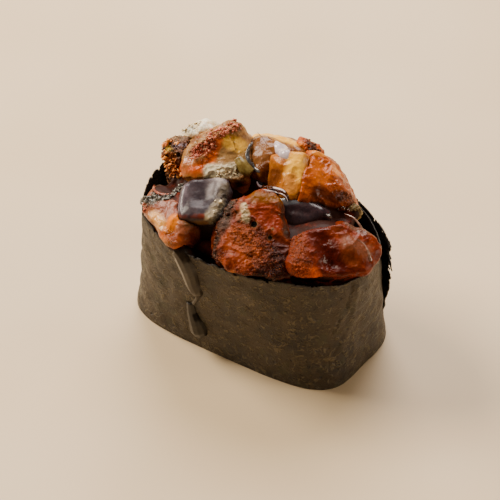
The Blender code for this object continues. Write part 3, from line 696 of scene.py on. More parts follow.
def eelMaterial(look):
    recipe = Recipe(look["name"])
    place = recipe.place()
    loose = recipe.wander(place, 1.6, 1.1)
    patch = recipe.step(recipe.noise(place, 1.3, 4.0, 0.6), 0.36, 0.64)
    colour = recipe.mix(patch, look["base"], look["mottle"])
    rough = recipe.noise(place, 0.9, 3.0) * 0.24 + (look["rough"] - 0.12)
    for line in look["paint"]:
        mask = recipe.near(loose, *stroke(look, line), line[2], line[3])
        colour = recipe.mix(mask, colour, line[4])
        if len(line) > 5:
            rough = rough + mask * (line[5] - look["rough"])
    crumbly = None
    for line in look["crumble"]:
        mask = recipe.near(loose, *stroke(look, line), line[2], 0.7)
        crumbly = mask if crumbly is None else crumbly.most(mask)
    fine = recipe.noise(place, 0.34, 4.0, 0.65)
    colour = recipe.vector("SCALE", colour, Scale=fine * 0.6 + 0.7)
    grainy = recipe.noise(place, 0.9, 5.0, 0.6) * 0.7
    if crumbly:                                # grains of flesh, with painted shade between them, lighter raised grains and small painted glints
        grit = recipe.cells(recipe.wander(place, 0.6, 1.0), 0.85) * 0.6
        kernels = recipe.step(grit + recipe.noise(place, 0.5, 3.0, 0.6, twist=0.8) * 0.6, 0.32, 0.62)
        # colour darker between the raised grains and lighter on them: painted crevice shade
        colour = recipe.vector("SCALE", colour, Scale=crumbly * (1.4 - kernels * 0.8) + (1 - crumbly))
        pits = recipe.step(recipe.noise(place, 0.42, 3.0, 0.6, twist=0.6), 0.46, 0.36) * crumbly
        colour = recipe.mix(pits * look.get("pits", 0.6), colour, eel["sauce"])
        # small pale spots on the crumbly flesh: painted glints
        paintedGlints = recipe.step(recipe.noise(place, 0.32, 2.0, 0.5, twist=0.8), 0.60, 0.68) * crumbly
        colour = recipe.mix(paintedGlints * look.get("paintedGlints", 0.35), colour, look.get("glintTint", tint(236, 136, 76)))
        grainy = grainy + crumbly * ((1 - kernels) * 1.6 + recipe.noise(place, 0.40, 3.0, 0.6) * 1.4)
    # each hole: a paler rim, and near-black inside it, painted along the slant: painted shade
    for centre, radius in look.get("shadedHoles", []):
        spot = share(look["node"], centre)
        rim = recipe.near(recipe.wander(place, 0.8, 0.5), spot, spot, radius + 0.12, 0.16)
        colour = recipe.mix(rim * 0.5, colour, tint(190, 140, 92))
        colour = recipe.mix(recipe.near(place, spot, spot - slant * 1.8, radius, 0.14), colour, tint(10, 13, 8))
    # the soaked attribute brings in the sauce colour near other pieces: sauce and painted shade in the seams
    soaked = recipe.add("ShaderNodeAttribute", {"attribute_name": "soaked"}, out="Fac")
    colour = recipe.mix(recipe.step(soaked, 0.1, 1.0) * look.get("seamSauceShade", eel["seamSauceShade"]), colour, eel["sauce"])
    normal = recipe.bump(grainy, look.get("bump", 0.24), 0.9)
    coat = 0.03
    if "wet" in look:
        wet = None
        for line in look["wet"]:
            mask = recipe.near(loose, *stroke(look, line), line[2], 0.5)
            wet = mask if wet is None else wet.most(mask)
        rough = rough * (1 - wet * 0.5)
        coat = wet * look.get("gloss", 0.3) + 0.03
    return recipe.finish(
        colour, rough, normal, coat=coat, Coat_Roughness=0.12, Coat_IOR=1.45, Subsurface_Weight=0.07,
        Specular_IOR_Level=look.get("shine", 0.28), Subsurface_Radius=(1.0, 0.42, 0.2), Subsurface_Scale=1.0 * mm)


def weigh(piece, look, part):                  # a vertex group from strokes, each scaled by its height
    places = points(piece)
    weight = np.zeros(len(places))
    tallest = max(line[3] for line in look[part])
    for line in look[part]:
        weight = np.maximum(weight, nearness(places, *stroke(look, line), line[2] * 1.5) * line[3] / tallest)
    group = piece.vertex_groups.new(name=part)
    for i in np.nonzero(weight > 0.02)[0]:
        group.add([int(i)], float(weight[i]), "REPLACE")
    return tallest * mm


def seamSauceShade(piece, others):                       # sauce colour where a piece comes close to its neighbours: partly sauce in the seams, partly painted shade between the pieces
    values = []
    for vert in piece.data.vertices:
        found = others.find_nearest(vert.co, eel["seamShadeFar"] * mm)
        gap = found[3] / mm if found[3] is not None else eel["seamShadeFar"]
        values.append(min(1, max(0, (eel["seamShadeFar"] - gap) / (eel["seamShadeFar"] - eel["seamShadeNear"]))))
    layer = piece.data.attributes.new("soaked", "FLOAT", "POINT")
    layer.data.foreach_set("value", values)


def neighbours(node):                          # one search tree of all CAD nodes but this one
    verts, faces = [], []
    for name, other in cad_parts.items():
        if name == node:
            continue
        start = len(verts)
        verts += [vert.co for vert in other.data.vertices]
        faces += [[start + i for i in face.vertices] for face in other.data.polygons]
    return BVHTree.FromPolygons(verts, faces)


def makeEel(look):
    piece = nodeCopy(look["node"], look["name"])
    work(piece, "REMESH", mode="VOXEL", voxel_size=0.34 * mm)
    work(piece, "SMOOTH", factor=0.6, iterations=look.get("smooth", eel["smooth"]))
    work(piece, "REMESH", mode="VOXEL", voxel_size=eel["voxel"] * mm, use_smooth_shade=True)
    work(piece, "SMOOTH", factor=0.5, iterations=4)
    work(piece, "DISPLACE", strength=look.get("grow", eel["grow"]) * mm, mid_level=0.0)
    for line in look.get("pulls", []):
        move = nearness(points(piece), *stroke(look, line), line[2] * 1.4)
        put(piece, points(piece) + move[:, None] * np.array(line[3]))
    work(piece, "DISPLACE", texture=lumps, strength=look.get("lump", eel["lump"]) * mm * 2, mid_level=0.4)
    for line in look["presses"]:
        move = nearness(points(piece), *stroke(look, line), line[2] * 1.4) * line[3]
        put(piece, points(piece) + normals(piece) * move[:, None])
    work(piece, "DISPLACE", texture=torn, strength=look.get("torn", eel["torn"]) * mm, mid_level=0.5)
    work(piece, "DISPLACE", texture=crumbs, strength=look.get("grain", eel["grain"]) * mm, mid_level=0.4)
    if look["crumble"]:
        height = weigh(piece, look, "crumble")
        work(piece, "DISPLACE", texture=crumbs, strength=height * 1.6, mid_level=0.4, vertex_group="crumble")
    if look["flake"]:
        height = weigh(piece, look, "flake")
        work(piece, "DISPLACE", texture=flakes, strength=height, mid_level=0.5, vertex_group="flake")
    piece.vertex_groups.clear()
    seamSauceShade(piece, neighbours(look["node"]))
    settle(piece, look["node"], eelMaterial(look))
    return piece


# The sauce: it fills the gaps between the pieces of eel, and lies over the rice

sauce = {
    "coarse": 0.5, "swell": 1.5, "sink": 2.0, "floor": 19.0,
    "tint": tint(44, 17, 8), "thin": tint(104, 34, 12),
}


def sauceMaterial():
    recipe = Recipe("sauce")
    place = recipe.place()
    thin = recipe.step(recipe.noise(place, 2.6, 3.0, 0.6), 0.52, 0.75)
    colour = recipe.mix(thin, sauce["tint"], sauce["thin"])
    normal = recipe.bump(recipe.noise(place, 1.4, 2.0), 0.2, 0.5)
    return recipe.finish(colour, recipe.noise(place, 2.0, 2.0) * 0.3 + 0.34, normal, coat=0.0, Specular_IOR_Level=0.12)


def makeSauce():
    copies = [nodeCopy(node, "copy_" + node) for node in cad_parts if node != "nori_band"]
    pool = joined("saucePool", copies)
    work(pool, "REMESH", mode="VOXEL", voxel_size=sauce["coarse"] * mm)
    work(pool, "DISPLACE", strength=sauce["swell"] * mm, mid_level=0.0)
    work(pool, "REMESH", mode="VOXEL", voxel_size=sauce["coarse"] * mm)
    work(pool, "SMOOTH", factor=0.5, iterations=6)
    work(pool, "DISPLACE", strength=-sauce["sink"] * mm, mid_level=0.0)
    work(pool, "REMESH", mode="VOXEL", voxel_size=sauce["coarse"] * 0.8 * mm, use_smooth_shade=True)
    work(pool, "SMOOTH", factor=0.5, iterations=4)
    takeUp(pool)
    bpy.ops.object.mode_set(mode="EDIT")
    bpy.ops.mesh.select_all(action="SELECT")
    bpy.ops.mesh.bisect(plane_co=(0, 0, sauce["floor"] * mm), plane_no=(0, 0, 1), clear_inner=True, use_fill=True)
    bpy.ops.object.mode_set(mode="OBJECT")
    settle(pool, None, sauceMaterial())
    return pool


# The seaweed strip

strip = {
    "thick": 0.22, "rice": 0.32, "riceSize": 3.4, "wrinkle": 0.16, "wrinkleSize": 1.3, "tornRim": 0.8, "tornFlap": 2.2,
    "flapEnd": 8.0,
    "base": tint(56, 43, 25), "light": tint(102, 86, 57), "dark": tint(28, 19, 9), "fibre": tint(142, 126, 92),
    "moss": tint(56, 58, 28),
}
sheetPulls = [                                 # the wall comes in a little at both ends: from, to, reach, by
    ((-25.0, -4.0, 2.0), (-25.0, -4.0, 18.0), 12.0, (1.1, 0.3, 0.0)),
    ((24.8, -4.0, 0.0), (24.8, -4.0, 12.0), 12.0, (-0.8, 0.3, 0.0)),
]
cracks = [                                     # upright creases near the end with the flap: from, to, reach, depth; those pressed in are also painted dark, painted shade in the crease
    ((23.9, -5.0, 26.0), (23.6, -6.2, 20.0), 0.35, -0.4), ((23.0, -7.6, 17.5), (22.2, -8.8, 14.0), 0.3, -0.35),
    ((24.4, -6.4, 14.0), (22.4, -9.8, 7.0), 0.35, -0.4), ((24.6, -4.0, 25.0), (24.4, -4.8, 17.0), 0.5, 0.25),
]


def away(centre):                              # the level direction away from the middle line of the oval
    return Vector((centre.x - max(-10, min(10, centre.x)), centre.y, 0)).normalized()


def noriMaterial():
    recipe = Recipe("nori")
    place = recipe.place()
    cloud = recipe.step(recipe.noise(place, 5.0, 4.0, 0.6), 0.35, 0.68)
    colour = recipe.mix(cloud, strip["base"], strip["dark"])
    patch = recipe.step(recipe.noise(place, 1.5, 5.0, 0.7, twist=0.8), 0.52, 0.66)
    colour = recipe.mix(patch * 0.45, colour, strip["light"])
    moss = recipe.step(recipe.noise(place, 3.1, 2.0), 0.55, 0.7)
    colour = recipe.mix(moss * 0.4, colour, strip["moss"])
    heights = patch * 0.5
    for size, shift in ((2.1, 0.0), (2.9, 40.0), (1.7, 80.0)):    # fibres curl along the edges of clouds
        moved = recipe.vector("ADD", place, (shift, shift, 0.0))
        off = recipe.noise(moved, size, 2.0, 0.5, twist=0.9) - 0.5
        gate = recipe.step(recipe.noise(moved, size * 0.8, 1.0), 0.54, 0.62)
        fibre = recipe.step(off * off, 0.0016, 0.0003) * gate
        edge = recipe.step(off * off, 0.006, 0.002) * gate
        colour = recipe.mix(edge * 0.4, colour, strip["dark"])
        colour = recipe.mix(fibre * 0.34, colour, strip["fibre"])
        heights = heights + fibre * 1.0
    pits = recipe.step(recipe.cells(recipe.wander(place, 1.0, 0.8), 2.3), 0.16, 0.08)
    colour = recipe.mix(pits * 0.85, colour, tint(12, 9, 5))
    heights = heights - pits * 1.2
    fine = recipe.noise(place, 0.3, 4.0, 0.7)
    colour = recipe.vector("SCALE", colour, Scale=fine * 0.6 + 0.7)
    # the inner face of the wall above the rice, painted near-black: painted shade
    innerShadeMask = recipe.add("ShaderNodeAttribute", {"attribute_name": "innerShade"}, out="Fac")
    colour = recipe.mix(innerShadeMask, colour, tint(20, 15, 9))
    # the pressed-in creases painted near-black along their line: painted shade
    for start, end, reach, depth in cracks:
        if depth < 0:
            mask = recipe.near(recipe.wander(place, 0.8, 0.7), Vector(start), Vector(end), 0.16, 0.16)
            colour = recipe.mix(mask * 0.85, colour, tint(16, 11, 5))
    rims = recipe.step(recipe.vector("DOT_PRODUCT", place, (0, 0, 1), out="Value"), 27.0, 27.9)
    colour = recipe.mix(rims * 0.8, colour, tint(22, 15, 8))
    normal = recipe.bump(heights + fine * 0.8, 0.2, 0.9)
    rough = recipe.noise(place, 2.2, 3.0) * 0.3 + 0.34 + rims * 0.3
    return recipe.finish(colour, rough, normal, coat=0.0, Specular_IOR_Level=0.5)


def makeNori():
    band = nodeCopy("nori_band", "noriBand")
    pick(band, lambda centre, normal: not (normal.dot(away(centre)) > 0.3 and abs(normal.z) < 0.7))
    bpy.ops.mesh.delete(type="FACE")
    bpy.ops.object.mode_set(mode="OBJECT")
    edit(band, (bpy.ops.mesh.tris_convert_to_quads, {"face_threshold": 1.2, "shape_threshold": 1.2}))
    print("nori faces", len(band.data.polygons), [len(f.vertices) for f in band.data.polygons].count(4))
    takeUp(band)                               # the rows first, so that the squares come out even
    bpy.ops.object.mode_set(mode="EDIT")
    bpy.ops.mesh.select_mode(type="EDGE")
    bpy.ops.mesh.select_all(action="DESELECT")
    bpy.ops.object.mode_set(mode="OBJECT")
    verts = band.data.vertices
    for line in band.data.edges:
        span = verts[line.vertices[0]].co - verts[line.vertices[1]].co
        line.select = abs(span.z) > 0.8 * span.length
    bpy.ops.object.mode_set(mode="EDIT")
    bpy.ops.mesh.subdivide(number_cuts=7)
    bpy.ops.object.mode_set(mode="OBJECT")
    work(band, "SUBSURF", levels=2, render_levels=2)
    print("nori sheet", len(band.data.polygons))
    places, facing = points(band), normals(band)
    rim = places[:, 2].max()
    moves = np.zeros(len(places))
    for i, place in enumerate(places):         # grains of rice press the sheet out, and it wrinkles between
        here = Vector(place)
        swell = noise.noise(Vector((here.x / 5.2, here.y / 5.2, here.z / 2.6)))
        swell += 0.6 * noise.noise(Vector((here.x / 2.2 + 7, here.y / 2.2, here.z / 3.4)))
        ridge = 1 - abs(noise.noise(here / strip["wrinkleSize"]))
        moves[i] = swell * strip["rice"] + (ridge - 0.7) * strip["wrinkle"]
    for start, end, reach, depth in cracks:
        moves += nearness(places, start, end, reach * 2) * depth
    for start, end, reach, shift in sheetPulls:
        places = places + nearness(places, start, end, reach)[:, None] * np.array(shift)
    moves *= np.clip(places[:, 2] / 1.0, 0.2, 1)
    put(band, places + facing * moves[:, None])
    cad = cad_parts["nori_band"].data
    tree = BVHTree.FromPolygons([v.co for v in cad.vertices], [f.vertices for f in cad.polygons])

    def torn(centre, normal):                  # notches along the rim, deeper ones in the loose flap
        foot = Vector((max(-10, min(10, centre.x)), 0, centre.z))
        wall = tree.ray_cast(foot * mm, away(centre))[3]
        loose = wall is not None and (centre - foot).length > wall / mm + 1.2
        low = strip["tornFlap"] if loose else strip["tornRim"]
        height = rim - low * 0.5 + noise.noise(Vector((centre.x, centre.y, 3.0)) / 1.1) * low
        height += noise.noise(Vector((centre.x, centre.y, 9.0)) / 0.45) * low * 1.0
        if loose:
            side = centre.y + noise.noise(Vector((3.0, 1.0, centre.z / 1.3))) * 2.0 - strip["flapEnd"]
            side += noise.noise(Vector((7.0, 1.0, centre.z / 0.5))) * 1.6
            return centre.z > height or side < 0
        return centre.z > height
    pick(band, torn)
    bpy.ops.mesh.delete(type="FACE")
    bpy.ops.object.mode_set(mode="OBJECT")
    work(band, "SOLIDIFY", thickness=strip["thick"] * mm, offset=-1.0)
    # inner faces high on the wall, marked for the painted shade
    innerShade = [float(n @ np.array(away(Vector(p))) < -0.2 and p[2] > 12) for p, n in zip(points(band), normals(band))]
    layer = band.data.attributes.new("innerShade", "FLOAT", "POINT")
    layer.data.foreach_set("value", innerShade)
    settle(band, "nori_band", noriMaterial())
    return band


# The rice: loose grains over a smaller core

rice = {
    "grain": (2.9, 1.15, 0.95), "topGrains": 260, "baseGrains": 210, "shrink": 1.3,
    "base": tint(236, 226, 200), "shade": tint(206, 188, 150), "soaked": tint(120, 70, 34),
}


def riceMaterial():
    recipe = Recipe("rice")
    place = recipe.place()
    colour = recipe.mix(recipe.step(recipe.noise(place, 1.6, 3.0), 0.35, 0.7), rice["base"], rice["shade"])
    height = recipe.vector("DOT_PRODUCT", place, (0, 0, 1), out="Value")
    wet = recipe.step(height + recipe.noise(place, 3.0, 2.0) * 6, 18, 27)
    colour = recipe.mix(wet * 0.85, colour, rice["soaked"])
    normal = recipe.bump(recipe.noise(place, 0.5, 3.0), 0.08, 0.6)
    return recipe.finish(colour, recipe.noise(place, 1.0, 2.0) * 0.2 + 0.28, normal, coat=0.2,
                         Subsurface_Weight=0.3, Subsurface_Radius=(1.0, 0.8, 0.5), Subsurface_Scale=1.0 * mm)


def makeRice():
    core = nodeCopy("rice", "riceCore")
    work(core, "REMESH", mode="VOXEL", voxel_size=0.6 * mm)
    work(core, "DISPLACE", strength=-rice["shrink"] * mm, mid_level=0.0)
    work(core, "REMESH", mode="VOXEL", voxel_size=0.5 * mm, use_smooth_shade=True)
    work(core, "DISPLACE", texture=lumps, strength=0.5 * mm, mid_level=0.5)
    tree = BVHTree.FromPolygons([v.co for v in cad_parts["rice"].data.vertices],
                                [f.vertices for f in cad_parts["rice"].data.polygons])
    bpy.ops.mesh.primitive_uv_sphere_add(segments=10, ring_count=7, radius=1)
    seedGrain = named("riceGrain")
    edit(seedGrain, (bpy.ops.transform.resize, {"value": tuple(part * mm for part in rice["grain"])}))
    shape = points(seedGrain)
    shape[:, 2] -= 0.06 * shape[:, 0] ** 2     # a grain bends a little along its length
    put(seedGrain, shape)
    low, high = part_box("rice")
    grains = []
    while len(grains) < rice["topGrains"] + rice["baseGrains"]:
        x, y = chance.uniform(low.x, high.x), chance.uniform(low.y, high.y)
        top = len(grains) < rice["topGrains"]
        start = Vector((x, y, 0.06 if top else -0.02))
        hit, facing = tree.ray_cast(start, Vector((0, 0, -1 if top else 1)))[:2]
        if hit is None:
            continue
        edge = tree.ray_cast(Vector((x, y, 5 * mm)), away(Vector((x, y, 0)) / mm))[3]
        if edge is None or edge < 3.4 * mm:
            continue
        grain = seedGrain.copy()
        grain.data = seedGrain.data.copy()
        bpy.context.scene.collection.objects.link(grain)
        tilt = 0.35 if top else 0.12
        grain.location = hit - Vector((0, 0, 1.0 * mm)) if top else hit + Vector((0, 0, 0.85 * mm))
        grain.rotation_euler = (chance.uniform(-tilt, tilt), chance.uniform(-tilt, tilt), chance.uniform(0, math.pi))
        grain.scale = [chance.uniform(0.88, 1.12)] * 3
        grains.append(grain)
    bpy.data.objects.remove(seedGrain)
    heap = joined("riceGrains", grains)
    takeUp(heap)
    bpy.ops.object.transform_apply(location=True, rotation=True, scale=True)
    places = points(heap)
    places[:, 2] = np.maximum(places[:, 2], 0.02)      # the underside is pressed flat on the board
    put(heap, places)
    cooked = riceMaterial()
    for piece in (core, heap):
        settle(piece, "rice", cooked)


# Strands: sauce that runs and hangs, shreds of skin, edges of film. Each follows points on a node (shares of
# its box, radius in mm), is laid on what lies below and flattened towards it.

finishes = {
    "syrup": {"slot": "sauce", "base": tint(46, 24, 12), "mottle": tint(84, 40, 16), "rough": 0.12, "coat": 0.9},
    "glaze": {"slot": "sauce", "base": tint(44, 32, 18), "mottle": tint(34, 23, 12), "rough": 0.34, "coat": 0.3},
    "maroon": {"slot": "sauce", "base": tint(120, 36, 12), "mottle": tint(84, 26, 10), "rough": 0.4, "coat": 0.04},
    # litDripSheen: pale tan, a painted sheen for the lit left face of the drips
    "litDripSheen": {"slot": "sauce", "base": tint(122, 106, 80), "mottle": tint(84, 70, 48), "rough": 0.4, "coat": 0.1},
    "shred": {"slot": "eel_skin", "base": tint(120, 116, 106), "mottle": tint(84, 78, 70), "rough": 0.3, "coat": 0.5},
    "slate": {"slot": "eel_skin", "base": tint(84, 84, 86), "mottle": tint(66, 62, 58), "rough": 0.2, "coat": 0.8},
    "film": {"slot": "eel_pale", "base": tint(150, 118, 104), "mottle": tint(110, 78, 64), "rough": 0.14, "coat": 1.0},
    "rosy": {"slot": "eel_flesh", "base": tint(176, 96, 70), "mottle": tint(120, 52, 34), "rough": 0.3, "coat": 0.3},
    # paintedGlint: pale and faintly glowing, a painted highlight for the glint lines on the sauce
    "paintedGlint": {"slot": "sauce", "base": tint(226, 208, 206), "mottle": tint(214, 190, 190), "rough": 0.05, "coat": 1.0, "glow": 0.2},
    "olive": {"slot": "eel_amber", "base": tint(136, 118, 62), "mottle": tint(104, 82, 36), "rough": 0.3, "coat": 0.2},
    # glazeWithPaintedHighlight: glossy glaze given a pale lavender-white colour, a painted highlight over its real
    # reflection
    "glazeWithPaintedHighlight": {"slot": "sauce", "base": tint(206, 190, 192), "mottle": tint(186, 166, 172), "rough": 0.1, "coat": 0.8},
    "tar": {"slot": "sauce", "base": tint(30, 21, 12), "mottle": tint(22, 15, 8), "rough": 0.34, "coat": 0.2},
    # toastAndGlint: toasted crumb colour lightened towards pink-white, partly painted glints
    "toastAndGlint": {"slot": "eel_flesh", "base": tint(234, 146, 112), "mottle": tint(166, 68, 44), "rough": 0.4, "coat": 0.2},
    "amber": {"slot": "eel_flesh", "base": tint(246, 166, 76), "mottle": tint(206, 104, 40), "rough": 0.4, "coat": 0.2},
    "char": {"slot": "eel_flesh", "base": tint(92, 44, 20), "mottle": tint(44, 20, 10), "rough": 0.5, "coat": 0.1},
    "cream": {"slot": "eel_pale", "base": tint(236, 220, 180), "mottle": tint(190, 160, 116), "rough": 0.4, "coat": 0.1},
}
strands = [
    {"name": "ribbon", "finish": "syrup", "node": "eel_centre_front", "flat": 0.8, "sink": 0.1, "line": [
        ((0.16, 1.14, 0.77), 0.35), ((0.22, 1.10, 0.77), 0.55), ((0.28, 1.10, 0.79), 0.7), ((0.34, 1.11, 0.81), 0.75),
        ((0.40, 1.13, 0.82), 0.7), ((0.46, 1.14, 0.82), 0.6), ((0.51, 1.13, 0.81), 0.5), ((0.55, 1.09, 0.77), 0.35)]},
    # this strand and the next: thin pale glowing lines on the ribbon of sauce, painted highlights
    {"name": "ribbonGlint", "finish": "paintedGlint", "node": "eel_centre_front", "flat": 1.0, "sink": -0.55, "line": [
        ((0.16, 1.15, 0.79), 0.12), ((0.21, 1.11, 0.79), 0.22), ((0.27, 1.11, 0.81), 0.26), ((0.33, 1.12, 0.83), 0.28),
        ((0.39, 1.14, 0.84), 0.24), ((0.45, 1.15, 0.84), 0.18), ((0.50, 1.14, 0.83), 0.08)]},
    {"name": "ribbonEdgePaintedGlint", "finish": "paintedGlint", "node": "eel_centre_front", "flat": 1.0, "sink": -0.45, "line": [
        ((0.25, 1.09, 0.76), 0.06), ((0.31, 1.09, 0.78), 0.12), ((0.38, 1.11, 0.79), 0.16), ((0.46, 1.12, 0.80), 0.14),
        ((0.52, 1.11, 0.79), 0.12), ((0.56, 1.08, 0.75), 0.06)]},
    {"name": "runUpper", "finish": "glaze", "node": "nori_band", "flat": 1.0, "sink": 0.9, "line": [
        ((0.335, -0.02, 1.02), 1.7), ((0.345, 0.00, 0.96), 2.0), ((0.365, 0.01, 0.85), 2.0), ((0.382, 0.01, 0.74), 1.8),
        ((0.392, 0.02, 0.66), 1.6), ((0.397, 0.02, 0.62), 1.1)]},
    # a pale strand along the upper drip's left side: painted sheen where that face catches the light
    {"name": "runFlankSheen", "finish": "litDripSheen", "node": "nori_band", "flat": 1.0, "sink": -0.1, "line": [
        ((0.308, -0.02, 0.98), 0.4), ((0.318, 0.00, 0.92), 0.65), ((0.336, 0.01, 0.82), 0.7), ((0.360, 0.01, 0.71), 0.6),
        ((0.375, 0.02, 0.63), 0.4)]},
    {"name": "runThread", "finish": "glaze", "node": "nori_band", "flat": 0.8, "sink": 0.1, "line": [
        ((0.395, 0.02, 0.61), 0.4), ((0.385, 0.03, 0.54), 0.4), ((0.368, 0.04, 0.47), 0.5)]},
    {"name": "runLower", "finish": "tar", "node": "nori_band", "flat": 1.0, "sink": 0.9, "line": [
        ((0.355, 0.04, 0.48), 0.95), ((0.362, 0.04, 0.43), 1.3), ((0.370, 0.04, 0.38), 1.5), ((0.380, 0.05, 0.30), 1.9),
        ((0.390, 0.055, 0.23), 2.1), ((0.396, 0.06, 0.185), 1.7)]},
    {"name": "gapSauce", "finish": "maroon", "node": "eel_centre_front", "flat": 1.0, "sink": 0.0, "free": True, "line": [
        ((-0.24, 0.40, 0.12), 1.2), ((-0.16, 0.38, 0.14), 1.8), ((-0.08, 0.38, 0.14), 2.1), ((0.04, 0.36, 0.14), 2.0),
        ((0.14, 0.34, 0.12), 1.4)]},
    {"name": "web", "finish": "olive", "node": "eel_top_left", "flat": 1.0, "sink": 0.0, "free": True, "line": [
        ((0.80, 0.47, 0.66), 1.0), ((0.87, 0.44, 0.62), 1.3), ((0.94, 0.42, 0.58), 1.3), ((1.02, 0.42, 0.55), 1.0)]},
    {"name": "crescent", "finish": "slate", "node": "eel_top_middle", "flat": 0.5, "sink": 0.15, "line": [
        ((0.14, 0.44, 0.88), 0.2), ((0.15, 0.34, 0.84), 0.42), ((0.19, 0.24, 0.78), 0.52), ((0.28, 0.16, 0.74), 0.55),
        ((0.38, 0.10, 0.76), 0.5), ((0.48, 0.08, 0.78), 0.3)]},
    {"name": "filmEdge", "finish": "film", "node": "eel_right_end", "flat": 1.0, "sink": 0.0, "free": True, "line": [
        ((0.46, 1.02, 0.83), 0.10), ((0.58, 1.00, 0.87), 0.16), ((0.66, 0.98, 0.83), 0.2), ((0.76, 0.94, 0.73), 0.24),
        ((0.84, 0.91, 0.65), 0.2), ((0.90, 0.88, 0.58), 0.12)]},
    {"name": "filmFold", "finish": "film", "node": "eel_right_end", "flat": 0.6, "sink": 0.1, "line": [
        ((0.76, 0.76, 0.80), 0.12), ((0.86, 0.78, 0.70), 0.2), ((0.94, 0.74, 0.60), 0.3), ((1.00, 0.68, 0.52), 0.35)]},
    {"name": "tornSkin", "finish": "shred", "node": "eel_left_edge", "flat": 0.6, "sink": 0.1, "crinkle": 0.7, "line": [
        ((0.04, 0.50, 0.72), 0.7), ((0.12, 0.55, 0.80), 1.0), ((0.22, 0.60, 0.84), 0.95), ((0.32, 0.66, 0.84), 0.8),
        ((0.36, 0.80, 0.82), 0.65), ((0.34, 0.95, 0.76), 0.6), ((0.32, 1.12, 0.72), 0.5)]},
    {"name": "curledSkin", "finish": "rosy", "node": "eel_left_edge", "flat": 1.0, "sink": -0.1, "line": [
        ((0.05, 0.78, 0.88), 0.18), ((0.10, 0.72, 0.84), 0.26), ((0.18, 0.70, 0.82), 0.3), ((0.28, 0.72, 0.84), 0.26),
        ((0.36, 0.80, 0.84), 0.15)]},
    # the lens: a glossy droplet of glaze whose pale colour is a painted highlight
    {"name": "lens", "finish": "glazeWithPaintedHighlight", "node": "eel_top_middle", "flat": 0.55, "sink": 0.5, "calm": 30, "line": [
        ((0.43, 0.57, 0.97), 0.3), ((0.50, 0.51, 0.97), 1.1), ((0.58, 0.47, 0.96), 1.45), ((0.66, 0.43, 0.93), 1.1),
        ((0.73, 0.39, 0.89), 0.3)]},
    {"name": "middleCrease", "finish": "char", "node": "eel_top_middle", "flat": 0.5, "sink": 0.05, "line": [
        ((0.10, 0.62, 0.97), 0.08), ((0.26, 0.52, 0.97), 0.12), ((0.38, 0.44, 0.97), 0.1), ((0.52, 0.36, 0.96), 0.06)]},
]
heaps = [                                      # crumbs along a stroke: how many, how large, how far they spread (mm)
    {"name": "toastCrumbs", "finish": "toastAndGlint", "runs": [
        ("eel_top_left", (0.40, 0.44, 0.86), (0.64, 0.76, 0.97), 130, 0.25, 0.55),
        ("eel_top_left", (0.36, 0.30, 0.72), (0.46, 0.38, 0.80), 90, 0.2, 0.8),
        ("eel_left_edge", (0.06, 0.50, 0.66), (0.10, 0.40, 0.70), 12, 0.26, 0.5)]},
    {"name": "charCrumbs", "finish": "char", "runs": [
        ("eel_back_left", (0.20, 0.22, 0.90), (0.55, 0.02, 0.55), 34, 0.24, 1.0),
        ("eel_back_left", (0.10, 0.45, 0.92), (0.60, 0.40, 0.98), 20, 0.28, 0.8),
        ("eel_back_small", (0.45, 0.60, 1.00), (0.80, 0.45, 0.88), 24, 0.28, 0.4),
        ("eel_centre_front", (0.16, 0.60, 0.84), (0.24, 0.14, 0.40), 60, 0.28, 0.9)]},
    {"name": "amberCrumbs", "finish": "amber", "runs": [
        ("eel_back_left", (0.25, 0.10, 0.80), (0.55, 0.02, 0.50), 110, 0.26, 0.9),
        ("eel_back_left", (0.10, 0.40, 0.90), (0.30, 0.30, 0.92), 20, 0.3, 0.6),
        ("eel_top_left", (0.30, 0.16, 0.40), (0.20, 0.14, 0.30), 20, 0.26, 0.6)]},
    {"name": "creamCrumbsAndGlints", "finish": "cream", "runs": [
        ("eel_back_pale", (0.10, 0.30, 0.90), (0.30, 0.40, 0.98), 16, 0.3, 0.8),
        # this run on the crumbly band: pale crumbs standing for pink-white glints, painted highlights
        ("eel_top_left", (0.36, 0.30, 0.72), (0.46, 0.38, 0.80), 26, 0.14, 0.8),
        ("eel_centre_front", (0.28, 0.64, 0.93), (0.36, 0.54, 0.86), 22, 0.24, 0.4),
        ("eel_dark_square", (0.80, 0.50, 0.74), (0.84, 0.22, 0.57), 22, 0.24, 0.4),
        ("eel_top_left", (0.60, 0.14, 0.50), (0.82, 0.30, 0.57), 30, 0.26, 0.7)]},
]
bubbles = {
    "node": "eel_right_end", "spots": [((0.42, 1.06, 0.86), 0.55), ((0.47, 1.08, 0.88), 0.38), ((0.36, 1.08, 0.84), 0.32),
                                       ((0.52, 1.02, 0.90), 0.28), ((0.40, 1.00, 0.86), 0.24)],
}


def plainMaterial(name, finish):
    recipe = Recipe(name)
    place = recipe.place()
    cloud = recipe.step(recipe.noise(place, 0.9, 4.0, 0.6), 0.35, 0.68)
    colour = recipe.mix(cloud, finish["base"], finish["mottle"])
    rough = recipe.noise(place, 0.7, 2.0) * 0.12 + (finish["rough"] - 0.05)
    normal = recipe.bump(recipe.noise(place, 0.5, 3.0), 0.08, 0.5)
    # a finish with a glow gives off light of its own though it is no lamp: a painted highlight
    return recipe.finish(colour, rough, normal, coat=finish["coat"], Coat_Roughness=0.04, Specular_IOR_Level=0.3,
                         Emission_Color=finish["base"], Emission_Strength=finish.get("glow", 0.0))


def treeOf(pieces):
    verts, faces = [], []
    for piece in pieces:
        start = len(verts)
        verts += [vert.co for vert in piece.data.vertices]
        faces += [[start + i for i in face.vertices] for face in piece.data.polygons]
    return BVHTree.FromPolygons(verts, faces)


def smoothLine(line):                          # a rounded line through the points, with its radii
    spots = [line[0]] + line + [line[-1]]
    out = []
    for i in range(1, len(spots) - 2):
        for step in range(8):
            t = step / 8
            a, b, c, d = [np.array([*spots[i + k - 1][0], spots[i + k - 1][1]]) for k in range(4)]
            out.append(0.5 * (2 * b + (c - a) * t + (2 * a - 5 * b + 4 * c - d) * t * t
                              + (3 * b - a - 3 * c + d) * t ** 3))
    out.append(np.array([*line[-1][0], line[-1][1]]))
    return out


